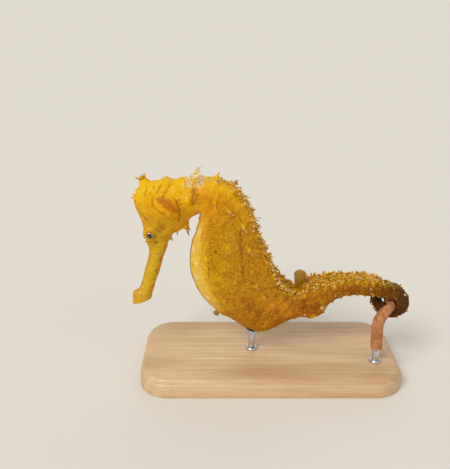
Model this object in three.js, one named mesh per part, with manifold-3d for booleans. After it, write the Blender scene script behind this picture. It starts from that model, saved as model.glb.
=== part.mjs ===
// A male yellow seahorse with its snout bowed to its chest and its tail curled round a finger of
// coral, held on a small display stand. Millimetres, +Z up. The snout is towards -X, the tail
// towards +X, and the animal's left side faces -Y. The origin is the centre of the stand's underside.

import * as THREE from 'three';
import { mergeVertices } from 'three/addons/utils/BufferGeometryUtils.js';
import Module from 'manifold-3d';

const wasm = await Module();
wasm.setup();

// ---------------------------------------------------------------- driving dimensions

// The body is measured along its length in bony rings. 0 is where the head meets the neck, 1 to 11
// are the trunk's rings and the tail's follow. The head and snout run back from 0 to -7.
// Each landmark gives the back line and the belly line as [x, z], and half the body's width.
const LANDMARKS = [
  { at: -7.0, name: 'mouth', back: [-42.9, 22.5], belly: [-36.8, 24.4], halfWidth: 2.1 },
  { at: -6.75, name: 'upper lip', back: [-42.5, 26.0], belly: [-36.5, 25.6], halfWidth: 2.2 },
  { at: -6.5, name: 'lip', back: [-41.3, 26.6], belly: [-36.3, 26.4], halfWidth: 1.9 },
  { at: -6.0, name: 'snout end', back: [-39.9, 28.8], belly: [-35.6, 28.6], halfWidth: 1.8 },
  { at: -5.0, name: 'snout middle', back: [-38.5, 33.7], belly: [-33.9, 33.7], halfWidth: 1.9 },
  { at: -4.0, name: 'snout base', back: [-37.0, 39.6], belly: [-31.9, 40.0], halfWidth: 2.3 },
  { at: -3.0, name: 'eye', back: [-38.0, 44.5], belly: [-29.6, 45.3], halfWidth: 3.1 },
  { at: -2.4, name: 'brow', back: [-38.8, 49.2], belly: [-25.9, 47.5], halfWidth: 3.9 },
  { at: -1.6, name: 'crown', back: [-40.9, 56.9], belly: [-24.2, 50.3], halfWidth: 4.7 },
  { at: -1.0, name: 'coronet', back: [-37.6, 60.9], belly: [-23.0, 51.1], halfWidth: 4.8 },
  { at: 0.0, name: 'nape', back: [-30.8, 61.9], belly: [-22.0, 51.6], halfWidth: 4.5 },
  { at: 1.3, name: 'neck', back: [-20.7, 62.8], belly: [-21.4, 51.2], halfWidth: 4.8 },
  { at: 2.8, name: 'shoulder', back: [-12.2, 61.0], belly: [-22.1, 47.7], halfWidth: 5.5 },
  { at: 4.5, name: 'breast', back: [-6.6, 54.2], belly: [-24.5, 40.6], halfWidth: 6.3 },
  { at: 6.5, name: 'trunk', back: [-2.9, 44.4], belly: [-24.7, 32.3], halfWidth: 6.8 },
  { at: 8.9, name: 'loin', back: [2.2, 33.0], belly: [-20.6, 23.3], halfWidth: 6.7 },
  { at: 10.6, name: 'last trunk ring', back: [5.8, 28.0], belly: [-13.9, 17.6], halfWidth: 6.4 },
  { at: 12.0, name: 'pouch', back: [8.4, 27.4], belly: [-4.4, 12.4], halfWidth: 5.9 },
  { at: 13.0, name: 'tail base', back: [11.0, 28.9], belly: [7.1, 18.0], halfWidth: 5.3 },
  { at: 14.5, name: 'tail swell', back: [15.3, 30.4], belly: [14.3, 18.4], halfWidth: 4.7 },
  { at: 16.0, name: 'tail narrows', back: [19.2, 30.8], belly: [18.7, 23.5], halfWidth: 3.7 },
  { at: 18.0, name: 'tail', back: [24.1, 31.2], belly: [24.2, 25.6], halfWidth: 3.0 },
  { at: 21.0, name: 'far tail', back: [31.3, 30.6], belly: [31.4, 25.2], halfWidth: 2.8 },
  { at: 23.5, name: 'coil start', back: [37.4, 28.6], belly: [37.4, 23.9], halfWidth: 2.3 },
];

// Past the last landmark the tail winds belly side in round the coral, and steps aside as it winds.
const COIL = { start: 23.5, end: 46, turns: 1.5, quickening: 0.55, thinning: 0.85, tipRadius: 0.45 };
const SIDE_STEP = { by: 4.8, from: 0.08, to: 0.5 };

// Corners of the body's section down one side, as an angle in degrees from the back and a share of
// the section's half size. The trunk is seven-sided and the tail four-sided.
const TRUNK_CORNERS = [[0, 0.94], [33, 1.1], [68, 1.06], [122, 0.94], [180, 1]];
const TAIL_CORNERS = [[0, 0.94], [43, 1.28], [90, 0.95], [138, 1.24], [180, 0.94]];
const UPPER_RIDGE = 33;
const SIDE_RIDGE = 68;
const TAIL_RIDGES = [43, 138];
const TRUNK_STARTS = -0.5;
const TRUNK_IS_FULL = 1.8;
const TAIL_STARTS = 10.5;
const TAIL_IS_FULL = 13.5;
const LONG_SIDE = 50;

// Heights of the spines on each ring of the trunk, on its upper ridge and its side ridge.
const UPPER_SPINES = [3.0, 1.3, 1.9, 0.9, 1.2, 0.9, 1.3, 0.8, 1.1, 0.8, 0.9];
const SIDE_SPINES = [0.7, 1.4, 1.2, 1.3, 0.8, 1.2, 0.7, 0.9, 0.6, 0.8, 0.6];
const TAIL_SPINE = 0.7;
const COIL_SPINE = 0.2;
const SPINE = { sides: 4, root: 0.7, base: 0.8, thickening: 0.1, tip: 0.3, lean: 0.3 };

// Steps, in rings and degrees, between facets and for finding the way out of the surface.
const FACET_RINGS = 0.5;
const HEAD_FACET_RINGS = 0.35;
const HEAD_SIDES = 18;
const FEEL = { rings: 0.05, tailwards: 0.3, degrees: 3 };

// Threads of skin stand on the upper ridges, longest where the back starts down, with none beside
// the dorsal fin.
const THREADS = { from: 4, to: 22, gap: 12, longest: 3.2, shortest: 1.1, root: 0.45, tip: 0.3 };
const THREAD_SHAPE = { sunk: 0.3, spread: [0.7, 1.2], droop: [0.2, 0.7], kneeUp: 0.6, kneeBack: 0.1 };

// Rounded swellings of the head, nape and pouch, each at a ring and an angle, on both sides.
const SWELLINGS = [
  { name: 'gill cover', at: -1.35, angle: 104, height: 1.4, reach: 5.4 },
  { name: 'cheek', at: -2.75, angle: 112, height: 0.5, reach: 2.6 },
  { name: 'temple', at: -1.9, angle: 60, height: 0.5, reach: 2.8 },
  { name: 'nape', at: -0.15, angle: 22, height: 0.8, reach: 2.4 },
  { name: 'shoulder', at: 0.36, angle: 90, height: 0.9, reach: 2.2 },
  { name: 'back of the crown', at: 0.05, angle: 14, height: 0.45, reach: 2.4 },
  { name: 'nape cushion', at: 1.05, angle: 26, height: 0.8, reach: 2.6 },
  { name: 'front of the pouch', at: 10.2, angle: 168, height: 0.45, reach: 4.5 },
];

const EYE = { x: -36.0, y: 2.6, z: 46.1, radius: 1.7 };
const ORBIT = { base: 2.6, rim: 2.1, from: 1.2, to: 3.5 };
const CORONET = { at: -0.98, base: 2.0, waist: 1.4, height: 1.8, parting: 0.8, sunk: 1 };
const CORONET_POINTS = { count: 5, length: 1.2, spread: 1.7, base: 0.7, tip: 0.28, rootOut: 0.5, sunk: 0.6 };
const BROW_SPINES = { at: -1.62, angle: 14, height: 1.2 };
const CHEEK_SPINES = { at: -2.55, angle: 158, height: 1.5 };
const THROAT_SPINES = { at: -1.85, angle: 160, height: 1.9 };
const MOUTH = { length: 1.4, depth: 2.1, width: 1.35, tilt: -17 };

const FIN_THICKNESS = 0.55;
const FIN_RAYS = 8;
const DORSAL_FIN = { foot: [7.7, 10.5], footHeight: 26.8, reach: 6.8, splay: [96, 85], bow: 0.12 };
const PECTORAL_FIN = { at: 0.62, angle: 92, foot: 1.9, reach: 3.3, splay: [118, 62], lift: 24, bow: 0.1 };
const ANAL_FIN = { at: 9.9, foot: 1.2, reach: 1.5, splay: [96, 60], bow: 0.1 };
const POUCH = { x: -5.2, z: 11.0, length: 28, depth: 23, width: 30, tilt: 2, rings: [9, 14.5] };

// The coral finger passes through the eye of the coil, from its living end behind the tail, and
// bends down in front of the tail to its cut foot. Its points are measured from the coil's eye.
const CORAL = { gripRadius: 1.25, stemRadius: 1.85, clear: 0.45, swellFrom: 0.42, swellTo: 0.62 };
const CORAL_ROUTE = [
  [0, 8.4, 0], [0, 3, 0], [-0.2, -3.0, 0.2], [-2.4, -6.4, 0.6], [-4.7, -7.6, -2.2], [-4.9, -7.7, -11.5],
];
const BASE = { length: 80, width: 38, thickness: 6, corner: 9, edge: 0.8 };
const ROD = { radius: 1.1, socket: 3, play: 0.2, pouchX: -5.5 };

// The cut between two lengths of body, how far fins and rods are cut back from the skin, and how far
// a cutting block reaches past what it cuts.
const CUT = 0.3;
const OFF_SKIN = 0.45;
const PAST = 4;

const YELLOW = 0xf0a810;
const AMBER = 0xcf8412;
const BROWN = 0x8a4a12;
const FIN = 0xb89a3a;
const EYE_BLACK = 0x1a1410;
const CORAL_PINK = 0xb07a66;
const PALE_WOOD = 0xd9bd8f;
const STEEL = 0xb9bcc0;

// ---------------------------------------------------------------- the body's surface

const { degToRad, lerp, smoothstep } = THREE.MathUtils;
const TURN = 2 * Math.PI;
const SIDE = new THREE.Vector3(0, 1, 0);
const UP = new THREE.Vector3(0, 0, 1);

// A landmark quantity at any ring number, by cubic pieces that pass through the landmarks.
function along(ring, pick) {
  const last = LANDMARKS.length - 1;
  const next = LANDMARKS.findIndex((mark) => mark.at > ring);
  const low = next < 0 ? last - 1 : Math.max(next - 1, 0);
  const slope = (index) => {
    const before = LANDMARKS[Math.max(index - 1, 0)];
    const after = LANDMARKS[Math.min(index + 1, last)];
    return (pick(after) - pick(before)) / (after.at - before.at);
  };
  const from = LANDMARKS[low];
  const to = LANDMARKS[low + 1];
  const span = to.at - from.at;
  const t = (ring - from.at) / span;
  const rise = t * t * (3 - 2 * t);
  const leave = t * (1 - t) * (1 - t) * span * slope(low);
  const arrive = t * t * (t - 1) * span * slope(low + 1);
  return lerp(pick(from), pick(to), rise) + leave + arrive;
}

const coilTop = LANDMARKS[LANDMARKS.length - 1];
const coilDepth = (coilTop.back[1] - coilTop.belly[1]) / 2;
const coilEye = new THREE.Vector3(coilTop.back[0], 0, coilTop.belly[1] - CORAL.gripRadius - CORAL.clear);

// The body's section at a ring: its centre, the arrow from there to the back, and half its width.
function section(ring) {
  if (ring <= COIL.start) {
    const back = new THREE.Vector3(along(ring, (m) => m.back[0]), 0, along(ring, (m) => m.back[1]));
    const belly = new THREE.Vector3(along(ring, (m) => m.belly[0]), 0, along(ring, (m) => m.belly[1]));
    const centre = back.clone().add(belly).multiplyScalar(0.5);
    return { centre, toBack: back.sub(centre), halfWidth: along(ring, (m) => m.halfWidth) };
  }
  const share = (ring - COIL.start) / (COIL.end - COIL.start);
  const turned = COIL.turns * TURN * share * (1 + COIL.quickening * (1 - share));
  const thinned = share ** COIL.thinning;
  const halfDepth = lerp(coilDepth, COIL.tipRadius, thinned);
  const outwards = new THREE.Vector3(Math.sin(turned), 0, Math.cos(turned));
  const centre = coilEye.clone().addScaledVector(outwards, CORAL.gripRadius + CORAL.clear + halfDepth);
  centre.y = SIDE_STEP.by * smoothstep(share, SIDE_STEP.from, SIDE_STEP.to);
  const halfWidth = lerp(coilTop.halfWidth, COIL.tipRadius, thinned);
  return { centre, toBack: outwards.multiplyScalar(halfDepth), halfWidth };
}

// How far a section with corners reaches at an angle, along the straight side between two corners.
function cornered(angle, corners) {
  const around = Math.abs(((angle + 540) % 360) - 180);
  const next = Math.max(corners.findIndex(([at]) => at >= around), 1);
  const [fromAngle, fromReach] = corners[next - 1];
  const [toAngle, toReach] = corners[next];
  const opening = Math.sin(degToRad(toAngle - fromAngle));
  const past = fromReach * Math.sin(degToRad(around - fromAngle));
  const ahead = toReach * Math.sin(degToRad(toAngle - around));
  return (fromReach * toReach * opening) / (past + ahead);
}

// A point of the bare surface. Angle 0 is the back, 90 the right flank, -90 the left, 180 the belly.
function bare(ring, angle) {
  const { centre, toBack, halfWidth } = section(ring);
  const tail = smoothstep(ring, TAIL_STARTS, TAIL_IS_FULL);
  const trunk = smoothstep(ring, TRUNK_STARTS, TRUNK_IS_FULL) * (1 - tail);
  const onTrunk = trunk * (cornered(angle, TRUNK_CORNERS) - 1);
  const reach = 1 + onTrunk + tail * (cornered(angle, TAIL_CORNERS) - 1);
  return centre
    .addScaledVector(toBack, reach * Math.cos(degToRad(angle)))
    .addScaledVector(SIDE, reach * halfWidth * Math.sin(degToRad(angle)));
}

// The way out of the surface at a point, from short steps along it and around it.
function outward(ring, angle) {
  const stepRing = bare(ring + FEEL.rings, angle).sub(bare(ring - FEEL.rings, angle));
  const stepAngle = bare(ring, angle + FEEL.degrees).sub(bare(ring, angle - FEEL.degrees));
  return stepRing.cross(stepAngle).normalize();
}

const swellings = [-1, 1].flatMap((side) => SWELLINGS.map((lump) => (
  { ...lump, peak: bare(lump.at, side * lump.angle) })));

// A point of the finished surface, with its swellings, standing out by some extra height. The
// swellings fade out like a bell, and are all but gone at their reach.
const BELL = 3;
function surface(ring, angle, extra = 0) {
  const point = bare(ring, angle);
  const height = swellings.reduce((sum, { peak, reach, height: most }) => (
    sum + most * Math.exp(-BELL * (point.distanceTo(peak) / reach) ** 2)), extra);
  return point.addScaledVector(outward(ring, angle), height);
}

// A unit arrow along the surface towards the tail.
function tailwards(ring, angle) {
  return surface(ring + FEEL.tailwards, angle).sub(surface(ring, angle)).normalize();
}

// ---------------------------------------------------------------- making solids

// A manifold solid from loose numbers, turned right side out if its faces point in.
function solidFrom(numbers, faces) {
  const corner = (k) => new THREE.Vector3().fromArray(numbers, 3 * faces[k]);
  let volume = 0;
  for (let k = 0; k < faces.length; k += 3) {
    volume += corner(k).dot(corner(k + 1).cross(corner(k + 2)));
  }
  const triVerts = new Uint32Array(volume < 0 ? [...faces].reverse() : faces);
  const vertProperties = new Float32Array(numbers);
  return new wasm.Manifold(new wasm.Mesh({ numProp: 3, vertProperties, triVerts }));
}

// A closed solid through rows of points, each row a loop, with its two ends filled.
function loft(rows) {
  const count = rows[0].length;
  const points = rows.flat();
  const faces = [];
  const end = rows.length - 1;
  for (let row = 0; row < end; row += 1) {
    for (let k = 0; k < count; k += 1) {
      const a = row * count + k;
      const b = row * count + ((k + 1) % count);
      faces.push(a, b, b + count, a, b + count, a + count);
    }
  }
  for (const row of [0, end]) {
    const hub = points.length;
    const middle = rows[row].reduce((sum, p) => sum.add(p), new THREE.Vector3());
    points.push(middle.multiplyScalar(1 / count));
    for (let k = 0; k < count; k += 1) {
      const a = row * count + k;
      const b = row * count + ((k + 1) % count);
      faces.push(hub, row ? a : b, row ? b : a);
    }
  }
  return solidFrom(points.flatMap((p) => [p.x, p.y, p.z]), faces);
}

// A three.js geometry, already in place, as a manifold solid.
function solidOf(geometry) {
  const plain = geometry.clone();
  plain.deleteAttribute('normal');
  plain.deleteAttribute('uv');
  const merged = mergeVertices(plain, 1e-4);
  return solidFrom([...merged.attributes.position.array], [...merged.index.array]);
}

// A tube through a few points, with its radius as a function of the share of its length.
function tube(points, radiusAt, sides, steps) {
  const curve = new THREE.CatmullRomCurve3(points);
  const frames = curve.computeFrenetFrames(steps, false);
  const rows = Array.from({ length: steps + 1 }, (_, step) => {
    const radius = radiusAt(step / steps);
    const centre = curve.getPointAt(step / steps);
    return Array.from({ length: sides }, (__, k) => centre.clone()
      .addScaledVector(frames.normals[step], radius * Math.cos((TURN * k) / sides))
      .addScaledVector(frames.binormals[step], radius * Math.sin((TURN * k) / sides)));
  });
  return loft(rows);
}

// A block whose lower face passes through a point, square to a direction.
function block(point, direction, size, thickness) {
  const geometry = new THREE.BoxGeometry(size, size, thickness);
  geometry.translate(0, 0, thickness / 2);
  geometry.applyQuaternion(new THREE.Quaternion().setFromUnitVectors(UP, direction));
  geometry.translate(point.x, point.y, point.z);
  return solidOf(geometry);
}

// A flat plate with a given outline, standing on a frame: x runs right, y up, and z through it.
function plate(outline, origin, right, up) {
  const shape = new THREE.Shape(outline.map(([x, y]) => new THREE.Vector2(x, y)));
  const geometry = new THREE.ExtrudeGeometry(shape, { depth: FIN_THICKNESS, bevelEnabled: false });
  geometry.translate(0, 0, -FIN_THICKNESS / 2);
  const through = right.clone().cross(up);
  geometry.applyMatrix4(new THREE.Matrix4().makeBasis(right, up, through).setPosition(origin));
  return solidOf(geometry);
}

const joined = (solids) => solids.reduce((whole, solid) => whole.add(solid));
const cutFrom = (whole, cutters) => cutters.reduce((left, cutter) => left.subtract(cutter), whole);

// The same share from 0 to 1 for the same number every time, with no pattern from one to the next.
function varied(number) {
  const value = Math.sin(number * 12.9898) * 43758.5453;
  return value - Math.floor(value);
}

// ---------------------------------------------------------------- parts of the body

// Angles at which a stretch of body is faceted: on every corner, and halfway along the longer sides.
function facetAngles(corners) {
  const marks = corners.map(([at]) => at);
  const half = marks.flatMap((mark, k) => (k && mark - marks[k - 1] > LONG_SIDE
    ? [(mark + marks[k - 1]) / 2, mark] : [mark]));
  const side = half.filter((angle) => angle > 0 && angle < 180);
  return [0, ...side, 180, ...side.map((angle) => -angle).reverse()];
}

// A plain length of body from one ring to another, standing out by some extra height all over.
function bodyLength(from, to, step, angles, extra = 0) {
  const count = Math.round((to - from) / step);
  const rows = Array.from({ length: count + 1 }, (_, k) => {
    const ring = lerp(from, to, k / count);
    const knob = ring > COIL.start ? COIL_SPINE : TAIL_SPINE;
    const isTailRing = ring > TAIL_STARTS + 1 && Math.abs(ring - Math.round(ring)) < 1e-6;
    return angles.map((angle) => {
      const spine = isTailRing && TAIL_RIDGES.includes(Math.abs(angle)) ? knob : 0;
      return surface(ring, angle, spine + extra);
    });
  });
  return loft(rows);
}

// A thin block across the body at a ring, which keeps two lengths of it apart.
function parting(ring) {
  const { centre, toBack, halfWidth } = section(ring);
  const size = 2 * Math.max(toBack.length(), halfWidth) + PAST;
  const direction = toBack.clone().normalize().cross(SIDE);
  return block(centre.addScaledVector(direction, -CUT / 2), direction, size, CUT);
}

// Where a spine's point is, when it leans towards the tail.
function spineTip(ring, angle, height) {
  return surface(ring, angle, height)
    .addScaledVector(tailwards(ring, angle), SPINE.lean * height);
}

function spine(ring, angle, height) {
  const root = surface(ring, angle, -SPINE.root);
  const radiusAt = (share) => lerp(SPINE.base + SPINE.thickening * height, SPINE.tip, share);
  return tube([root, spineTip(ring, angle, height)], radiusAt, SPINE.sides, 1);
}

const bothSides = (ring, angle, height) => [-angle, angle].map((side) => spine(ring, side, height));

function trunkSpines(ring) {
  return [
    ...bothSides(ring, UPPER_RIDGE, UPPER_SPINES[ring - 1]),
    ...bothSides(ring, SIDE_RIDGE, SIDE_SPINES[ring - 1]),
  ];
}

// A soft thread of skin that rises from the point of an upper spine and droops towards the tail.
function thread(ring, side) {
  const share = (ring - THREADS.from) / (THREADS.to - THREADS.from);
  const chance = varied(ring + 50 * side);
  const length = lerp(THREADS.longest, THREADS.shortest, share) * lerp(...THREAD_SHAPE.spread, chance);
  const onTrunk = ring <= UPPER_SPINES.length;
  const angle = side * (onTrunk ? UPPER_RIDGE : TAIL_RIDGES[0]);
  const height = onTrunk ? UPPER_SPINES[ring - 1] : TAIL_SPINE;
  const root = spineTip(ring, angle, height - THREAD_SHAPE.sunk);
  const droop = lerp(...THREAD_SHAPE.droop, varied(3 * ring + side));
  const reached = (up, back) => root.clone()
    .addScaledVector(outward(ring, angle), up * length)
    .addScaledVector(tailwards(ring, angle), back * length);
  const bent = [root, reached(THREAD_SHAPE.kneeUp, THREAD_SHAPE.kneeBack), reached(1, droop)];
  return tube(bent, (part) => lerp(THREADS.root, THREADS.tip, part), 4, 2);
}

const threadRings = Array.from({ length: THREADS.to - THREADS.from + 1 }, (_, k) => THREADS.from + k)
  .filter((ring) => ring !== THREADS.gap);

// What grows from the rings between two ring numbers.
function growths(from, to) {
  const rings = threadRings.filter((ring) => ring > from && ring < to);
  const spineRings = UPPER_SPINES.map((_, k) => k + 1).filter((ring) => ring > from && ring < to);
  return [
    ...spineRings.flatMap(trunkSpines),
    ...rings.flatMap((ring) => [-1, 1].map((side) => thread(ring, side))),
  ];
}

// An eye ball of a given radius, on the left (-1) or the right (1).
function eyeBall(side, radius, detail) {
  const geometry = new THREE.SphereGeometry(radius, detail, detail / 2);
  geometry.translate(EYE.x, side * EYE.y, EYE.z);
  return solidOf(geometry);
}

// The raised bony ring in which an eye sits.
function orbit(side) {
  const height = ORBIT.to - ORBIT.from;
  const geometry = new THREE.CylinderGeometry(ORBIT.rim, ORBIT.base, height, 12);
  geometry.rotateX(side * Math.PI / 2);
  geometry.translate(EYE.x, side * (ORBIT.from + ORBIT.to) / 2, EYE.z);
  return solidOf(geometry);
}

// The crown of blunt points on top of the head.
function coronet() {
  const foot = surface(CORONET.at, 0);
  const out = outward(CORONET.at, 0);
  const root = foot.clone().addScaledVector(out, -CORONET.sunk);
  const top = foot.clone().addScaledVector(out, CORONET.height);
  const stalk = tube([root, top], (share) => lerp(CORONET.base, CORONET.waist, share), 10, 1);
  const fore = out.clone().cross(SIDE);
  const points = Array.from({ length: CORONET_POINTS.count }, (_, k) => {
    const turned = (TURN * k) / CORONET_POINTS.count;
    const around = fore.clone().multiplyScalar(Math.cos(turned))
      .addScaledVector(SIDE, Math.sin(turned));
    const start = top.clone().addScaledVector(around, CORONET_POINTS.rootOut)
      .addScaledVector(out, -CORONET_POINTS.sunk);
    const tip = top.clone().addScaledVector(around, CORONET_POINTS.spread)
      .addScaledVector(out, CORONET_POINTS.length);
    const radiusAt = (share) => lerp(CORONET_POINTS.base, CORONET_POINTS.tip, share);
    return tube([start, tip], radiusAt, 5, 1);
  });
  return { solid: joined([stalk, ...points]), seat: foot.addScaledVector(out, CORONET.parting), out };
}

// The pouch under the tail base is the part of the body that lies inside this rounded form.
function pouchForm(extra) {
  const geometry = new THREE.SphereGeometry(0.5, 24, 12);
  geometry.scale(POUCH.length + 2 * extra, POUCH.width, POUCH.depth + 2 * extra);
  geometry.rotateY(degToRad(POUCH.tilt));
  geometry.translate(POUCH.x, 0, POUCH.z);
  return solidOf(geometry);
}

// The outline of a fan: a straight foot, and rays of bowed length between two angles.
function fanOutline(foot, reach, firstAngle, lastAngle, bow) {
  const edge = Array.from({ length: FIN_RAYS + 1 }, (_, k) => {
    const share = k / FIN_RAYS;
    const angle = degToRad(lerp(firstAngle, lastAngle, share));
    const length = reach * (1 - bow * (2 * share - 1) ** 2);
    return [lerp(0, foot, share) + length * Math.cos(angle), length * Math.sin(angle)];
  });
  return [[foot, 0], [0, 0], ...edge].reverse();
}

// ---------------------------------------------------------------- the scene

const group = new THREE.Group();
group.name = 'seahorse_on_stand';

// Puts the largest body of a solid in the scene as a named mesh with a material of its own. Cuts
// that nearly cross where the neck folds can leave a crumb beside it.
function place(name, solid, color, roughness = 0.6, metalness = 0) {
  const [body] = solid.decompose().sort((a, b) => b.volume() - a.volume());
  const { vertProperties, triVerts } = body.getMesh();
  const geometry = new THREE.BufferGeometry();
  geometry.setAttribute('position', new THREE.BufferAttribute(new Float32Array(vertProperties), 3));
  geometry.setIndex(new THREE.BufferAttribute(new Uint32Array(triVerts), 1));
  const material = new THREE.MeshStandardMaterial({ color, roughness, metalness, flatShading: true });
  const mesh = new THREE.Mesh(geometry, material);
  mesh.name = name;
  group.add(mesh);
}

const headAngles = Array.from({ length: HEAD_SIDES }, (_, k) => (360 * k) / HEAD_SIDES)
  .map((angle) => (angle > 180 ? angle - 360 : angle));
const trunkAngles = facetAngles(TRUNK_CORNERS);
const tailAngles = facetAngles(TAIL_CORNERS);
const crown = coronet();

// Snout, with the small mouth hollowed into its end.
const mouthSection = section(-7);
const mouthHollow = new THREE.SphereGeometry(1, 12, 8);
mouthHollow.scale(MOUTH.depth, MOUTH.width, MOUTH.length);
mouthHollow.rotateY(degToRad(MOUTH.tilt));
mouthHollow.translate(mouthSection.centre.x, 0, mouthSection.centre.z);
const snout = bodyLength(-7, -4, FACET_RINGS, headAngles);
place('snout', cutFrom(snout, [solidOf(mouthHollow), parting(-4)]), YELLOW);

// Head, with orbits, spines and the coronet's stump, less the eye sockets.
const coronetBlock = 2 * (CORONET.base + PAST);
const stump = crown.solid.subtract(
  block(crown.seat.clone().addScaledVector(crown.out, -CUT), crown.out, coronetBlock, coronetBlock),
);
const headWhole = joined([
  bodyLength(-4, 0.2, HEAD_FACET_RINGS, headAngles),
  stump,
  orbit(-1),
  orbit(1),
  ...[BROW_SPINES, CHEEK_SPINES, THROAT_SPINES]
    .flatMap(({ at, angle, height }) => bothSides(at, angle, height)),
]);
const sockets = [-1, 1].map((side) => eyeBall(side, EYE.radius + CUT, 16));
place('head', cutFrom(headWhole, [...sockets, parting(-4), parting(0.2)]), YELLOW);
place('eye_left', eyeBall(-1, EYE.radius, 16), EYE_BLACK, 0.1);
place('eye_right', eyeBall(1, EYE.radius, 16), EYE_BLACK, 0.1);
const coronetTop = crown.solid.subtract(
  block(crown.seat, crown.out.clone().negate(), coronetBlock, coronetBlock),
);
place('coronet', coronetTop, YELLOW);

// The body and the first of the tail, in lengths parted between rings.
const pouchCut = pouchForm(CUT / 2);
const LENGTHS = [
  { name: 'neck', from: 0.2, to: 2.5, angles: trunkAngles, color: YELLOW },
  { name: 'trunk_upper', from: 2.5, to: 6.5, angles: trunkAngles, color: AMBER },
  { name: 'trunk_lower', from: 6.5, to: 11.5, angles: trunkAngles, color: AMBER, pouch: true },
  { name: 'tail_1', from: 11.5, to: 15.5, angles: tailAngles, color: AMBER, pouch: true },
  { name: 'tail_2', from: 15.5, to: 20.5, angles: tailAngles, color: BROWN },
  { name: 'tail_3', from: 20.5, to: 25.5, angles: tailAngles, color: BROWN },
];
for (const { name, from, to, angles, color, pouch } of LENGTHS) {
  const whole = joined([bodyLength(from, to, FACET_RINGS, angles), ...growths(from, to)]);
  const cutters = [parting(from), parting(to), ...(pouch ? [pouchCut] : [])];
  place(name, cutFrom(whole, cutters), color);
}

// The coiled end of the tail, in lengths of less than half a turn each.
const COIL_CUTS = [25.5, 30.5, 36.5, COIL.end];
COIL_CUTS.slice(1).forEach((to, k) => {
  const plain = bodyLength(COIL_CUTS[k], to, FACET_RINGS, tailAngles);
  const cutters = [parting(COIL_CUTS[k]), ...(to < COIL.end ? [parting(to)] : [])];
  place(`tail_${k + 4}`, cutFrom(plain, cutters), BROWN);
});

// Pouch: the lower part of the body's own form.
const pouchBody = bodyLength(...POUCH.rings, FACET_RINGS, trunkAngles);
place('pouch', pouchBody.intersect(pouchForm(-CUT / 2)), AMBER);

// Fins, each cut back to stand just clear of the skin.
const right = new THREE.Vector3(1, 0, 0);
const dorsalFoot = DORSAL_FIN.foot[1] - DORSAL_FIN.foot[0];
const dorsalFin = plate(
  fanOutline(dorsalFoot, DORSAL_FIN.reach, ...DORSAL_FIN.splay, DORSAL_FIN.bow),
  new THREE.Vector3(DORSAL_FIN.foot[0], 0, DORSAL_FIN.footHeight),
  right,
  UP,
);
const skinNearDorsal = bodyLength(9.5, 14.5, FACET_RINGS, trunkAngles, OFF_SKIN);
place('dorsal_fin', dorsalFin.subtract(skinNearDorsal), FIN);

const analFoot = surface(ANAL_FIN.at, 180);
const analFin = plate(
  fanOutline(ANAL_FIN.foot, ANAL_FIN.reach, ...ANAL_FIN.splay, ANAL_FIN.bow),
  analFoot,
  tailwards(ANAL_FIN.at, 180),
  outward(ANAL_FIN.at, 180),
);
const skinNearAnal = bodyLength(8, 11.5, FACET_RINGS, trunkAngles, OFF_SKIN);
place('anal_fin', analFin.subtract(skinNearAnal), FIN);

const skinNearPectorals = bodyLength(-0.5, 2.5, FACET_RINGS, trunkAngles, OFF_SKIN);
for (const [name, side] of [['pectoral_fin_left', -1], ['pectoral_fin_right', 1]]) {
  const angle = side * PECTORAL_FIN.angle;
  const foot = surface(PECTORAL_FIN.at, angle);
  const out = outward(PECTORAL_FIN.at, angle);
  const lift = degToRad(PECTORAL_FIN.lift);
  const ray = tailwards(PECTORAL_FIN.at, angle).multiplyScalar(Math.cos(lift))
    .addScaledVector(out, Math.sin(lift)).normalize();
  const across = surface(PECTORAL_FIN.at, angle - side * FEEL.degrees).sub(foot);
  across.addScaledVector(ray, -across.dot(ray)).normalize();
  const fin = plate(
    fanOutline(PECTORAL_FIN.foot, PECTORAL_FIN.reach, ...PECTORAL_FIN.splay, PECTORAL_FIN.bow),
    foot.addScaledVector(across, -PECTORAL_FIN.foot / 2),
    across,
    ray,
  );
  place(name, fin.subtract(skinNearPectorals), FIN);
}

// Coral finger that the tail holds.
const coralRoute = CORAL_ROUTE.map((point) => coilEye.clone().add(new THREE.Vector3(...point)));
const coralRadius = (share) => lerp(
  CORAL.gripRadius,
  CORAL.stemRadius,
  smoothstep(share, CORAL.swellFrom, CORAL.swellTo),
);
place('perch_coral', tube(coralRoute, coralRadius, 10, 16), CORAL_PINK, 0.85);

// Stand: a flat wooden base with two steel rods let into it.
function rodSolid(x, y, top, radius) {
  const bottom = BASE.thickness - ROD.socket + (radius > ROD.radius ? -CUT : 0);
  const geometry = new THREE.CylinderGeometry(radius, radius, top - bottom, 16);
  geometry.rotateX(Math.PI / 2);
  geometry.translate(x, y, (top + bottom) / 2);
  return solidOf(geometry);
}

const coralFoot = coralRoute[coralRoute.length - 1];
const RODS = [
  { name: 'stand_rod_pouch', x: ROD.pouchX, y: 0, top: POUCH.z + POUCH.depth / 2 },
  { name: 'stand_rod_coral', x: coralFoot.x, y: coralFoot.y, top: coralFoot.z - CUT },
];
const pouchSkin = bodyLength(...POUCH.rings, FACET_RINGS, trunkAngles, OFF_SKIN);
for (const { name, x, y, top } of RODS) {
  place(name, rodSolid(x, y, top, ROD.radius).subtract(pouchSkin), STEEL, 0.3, 1);
}

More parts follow.
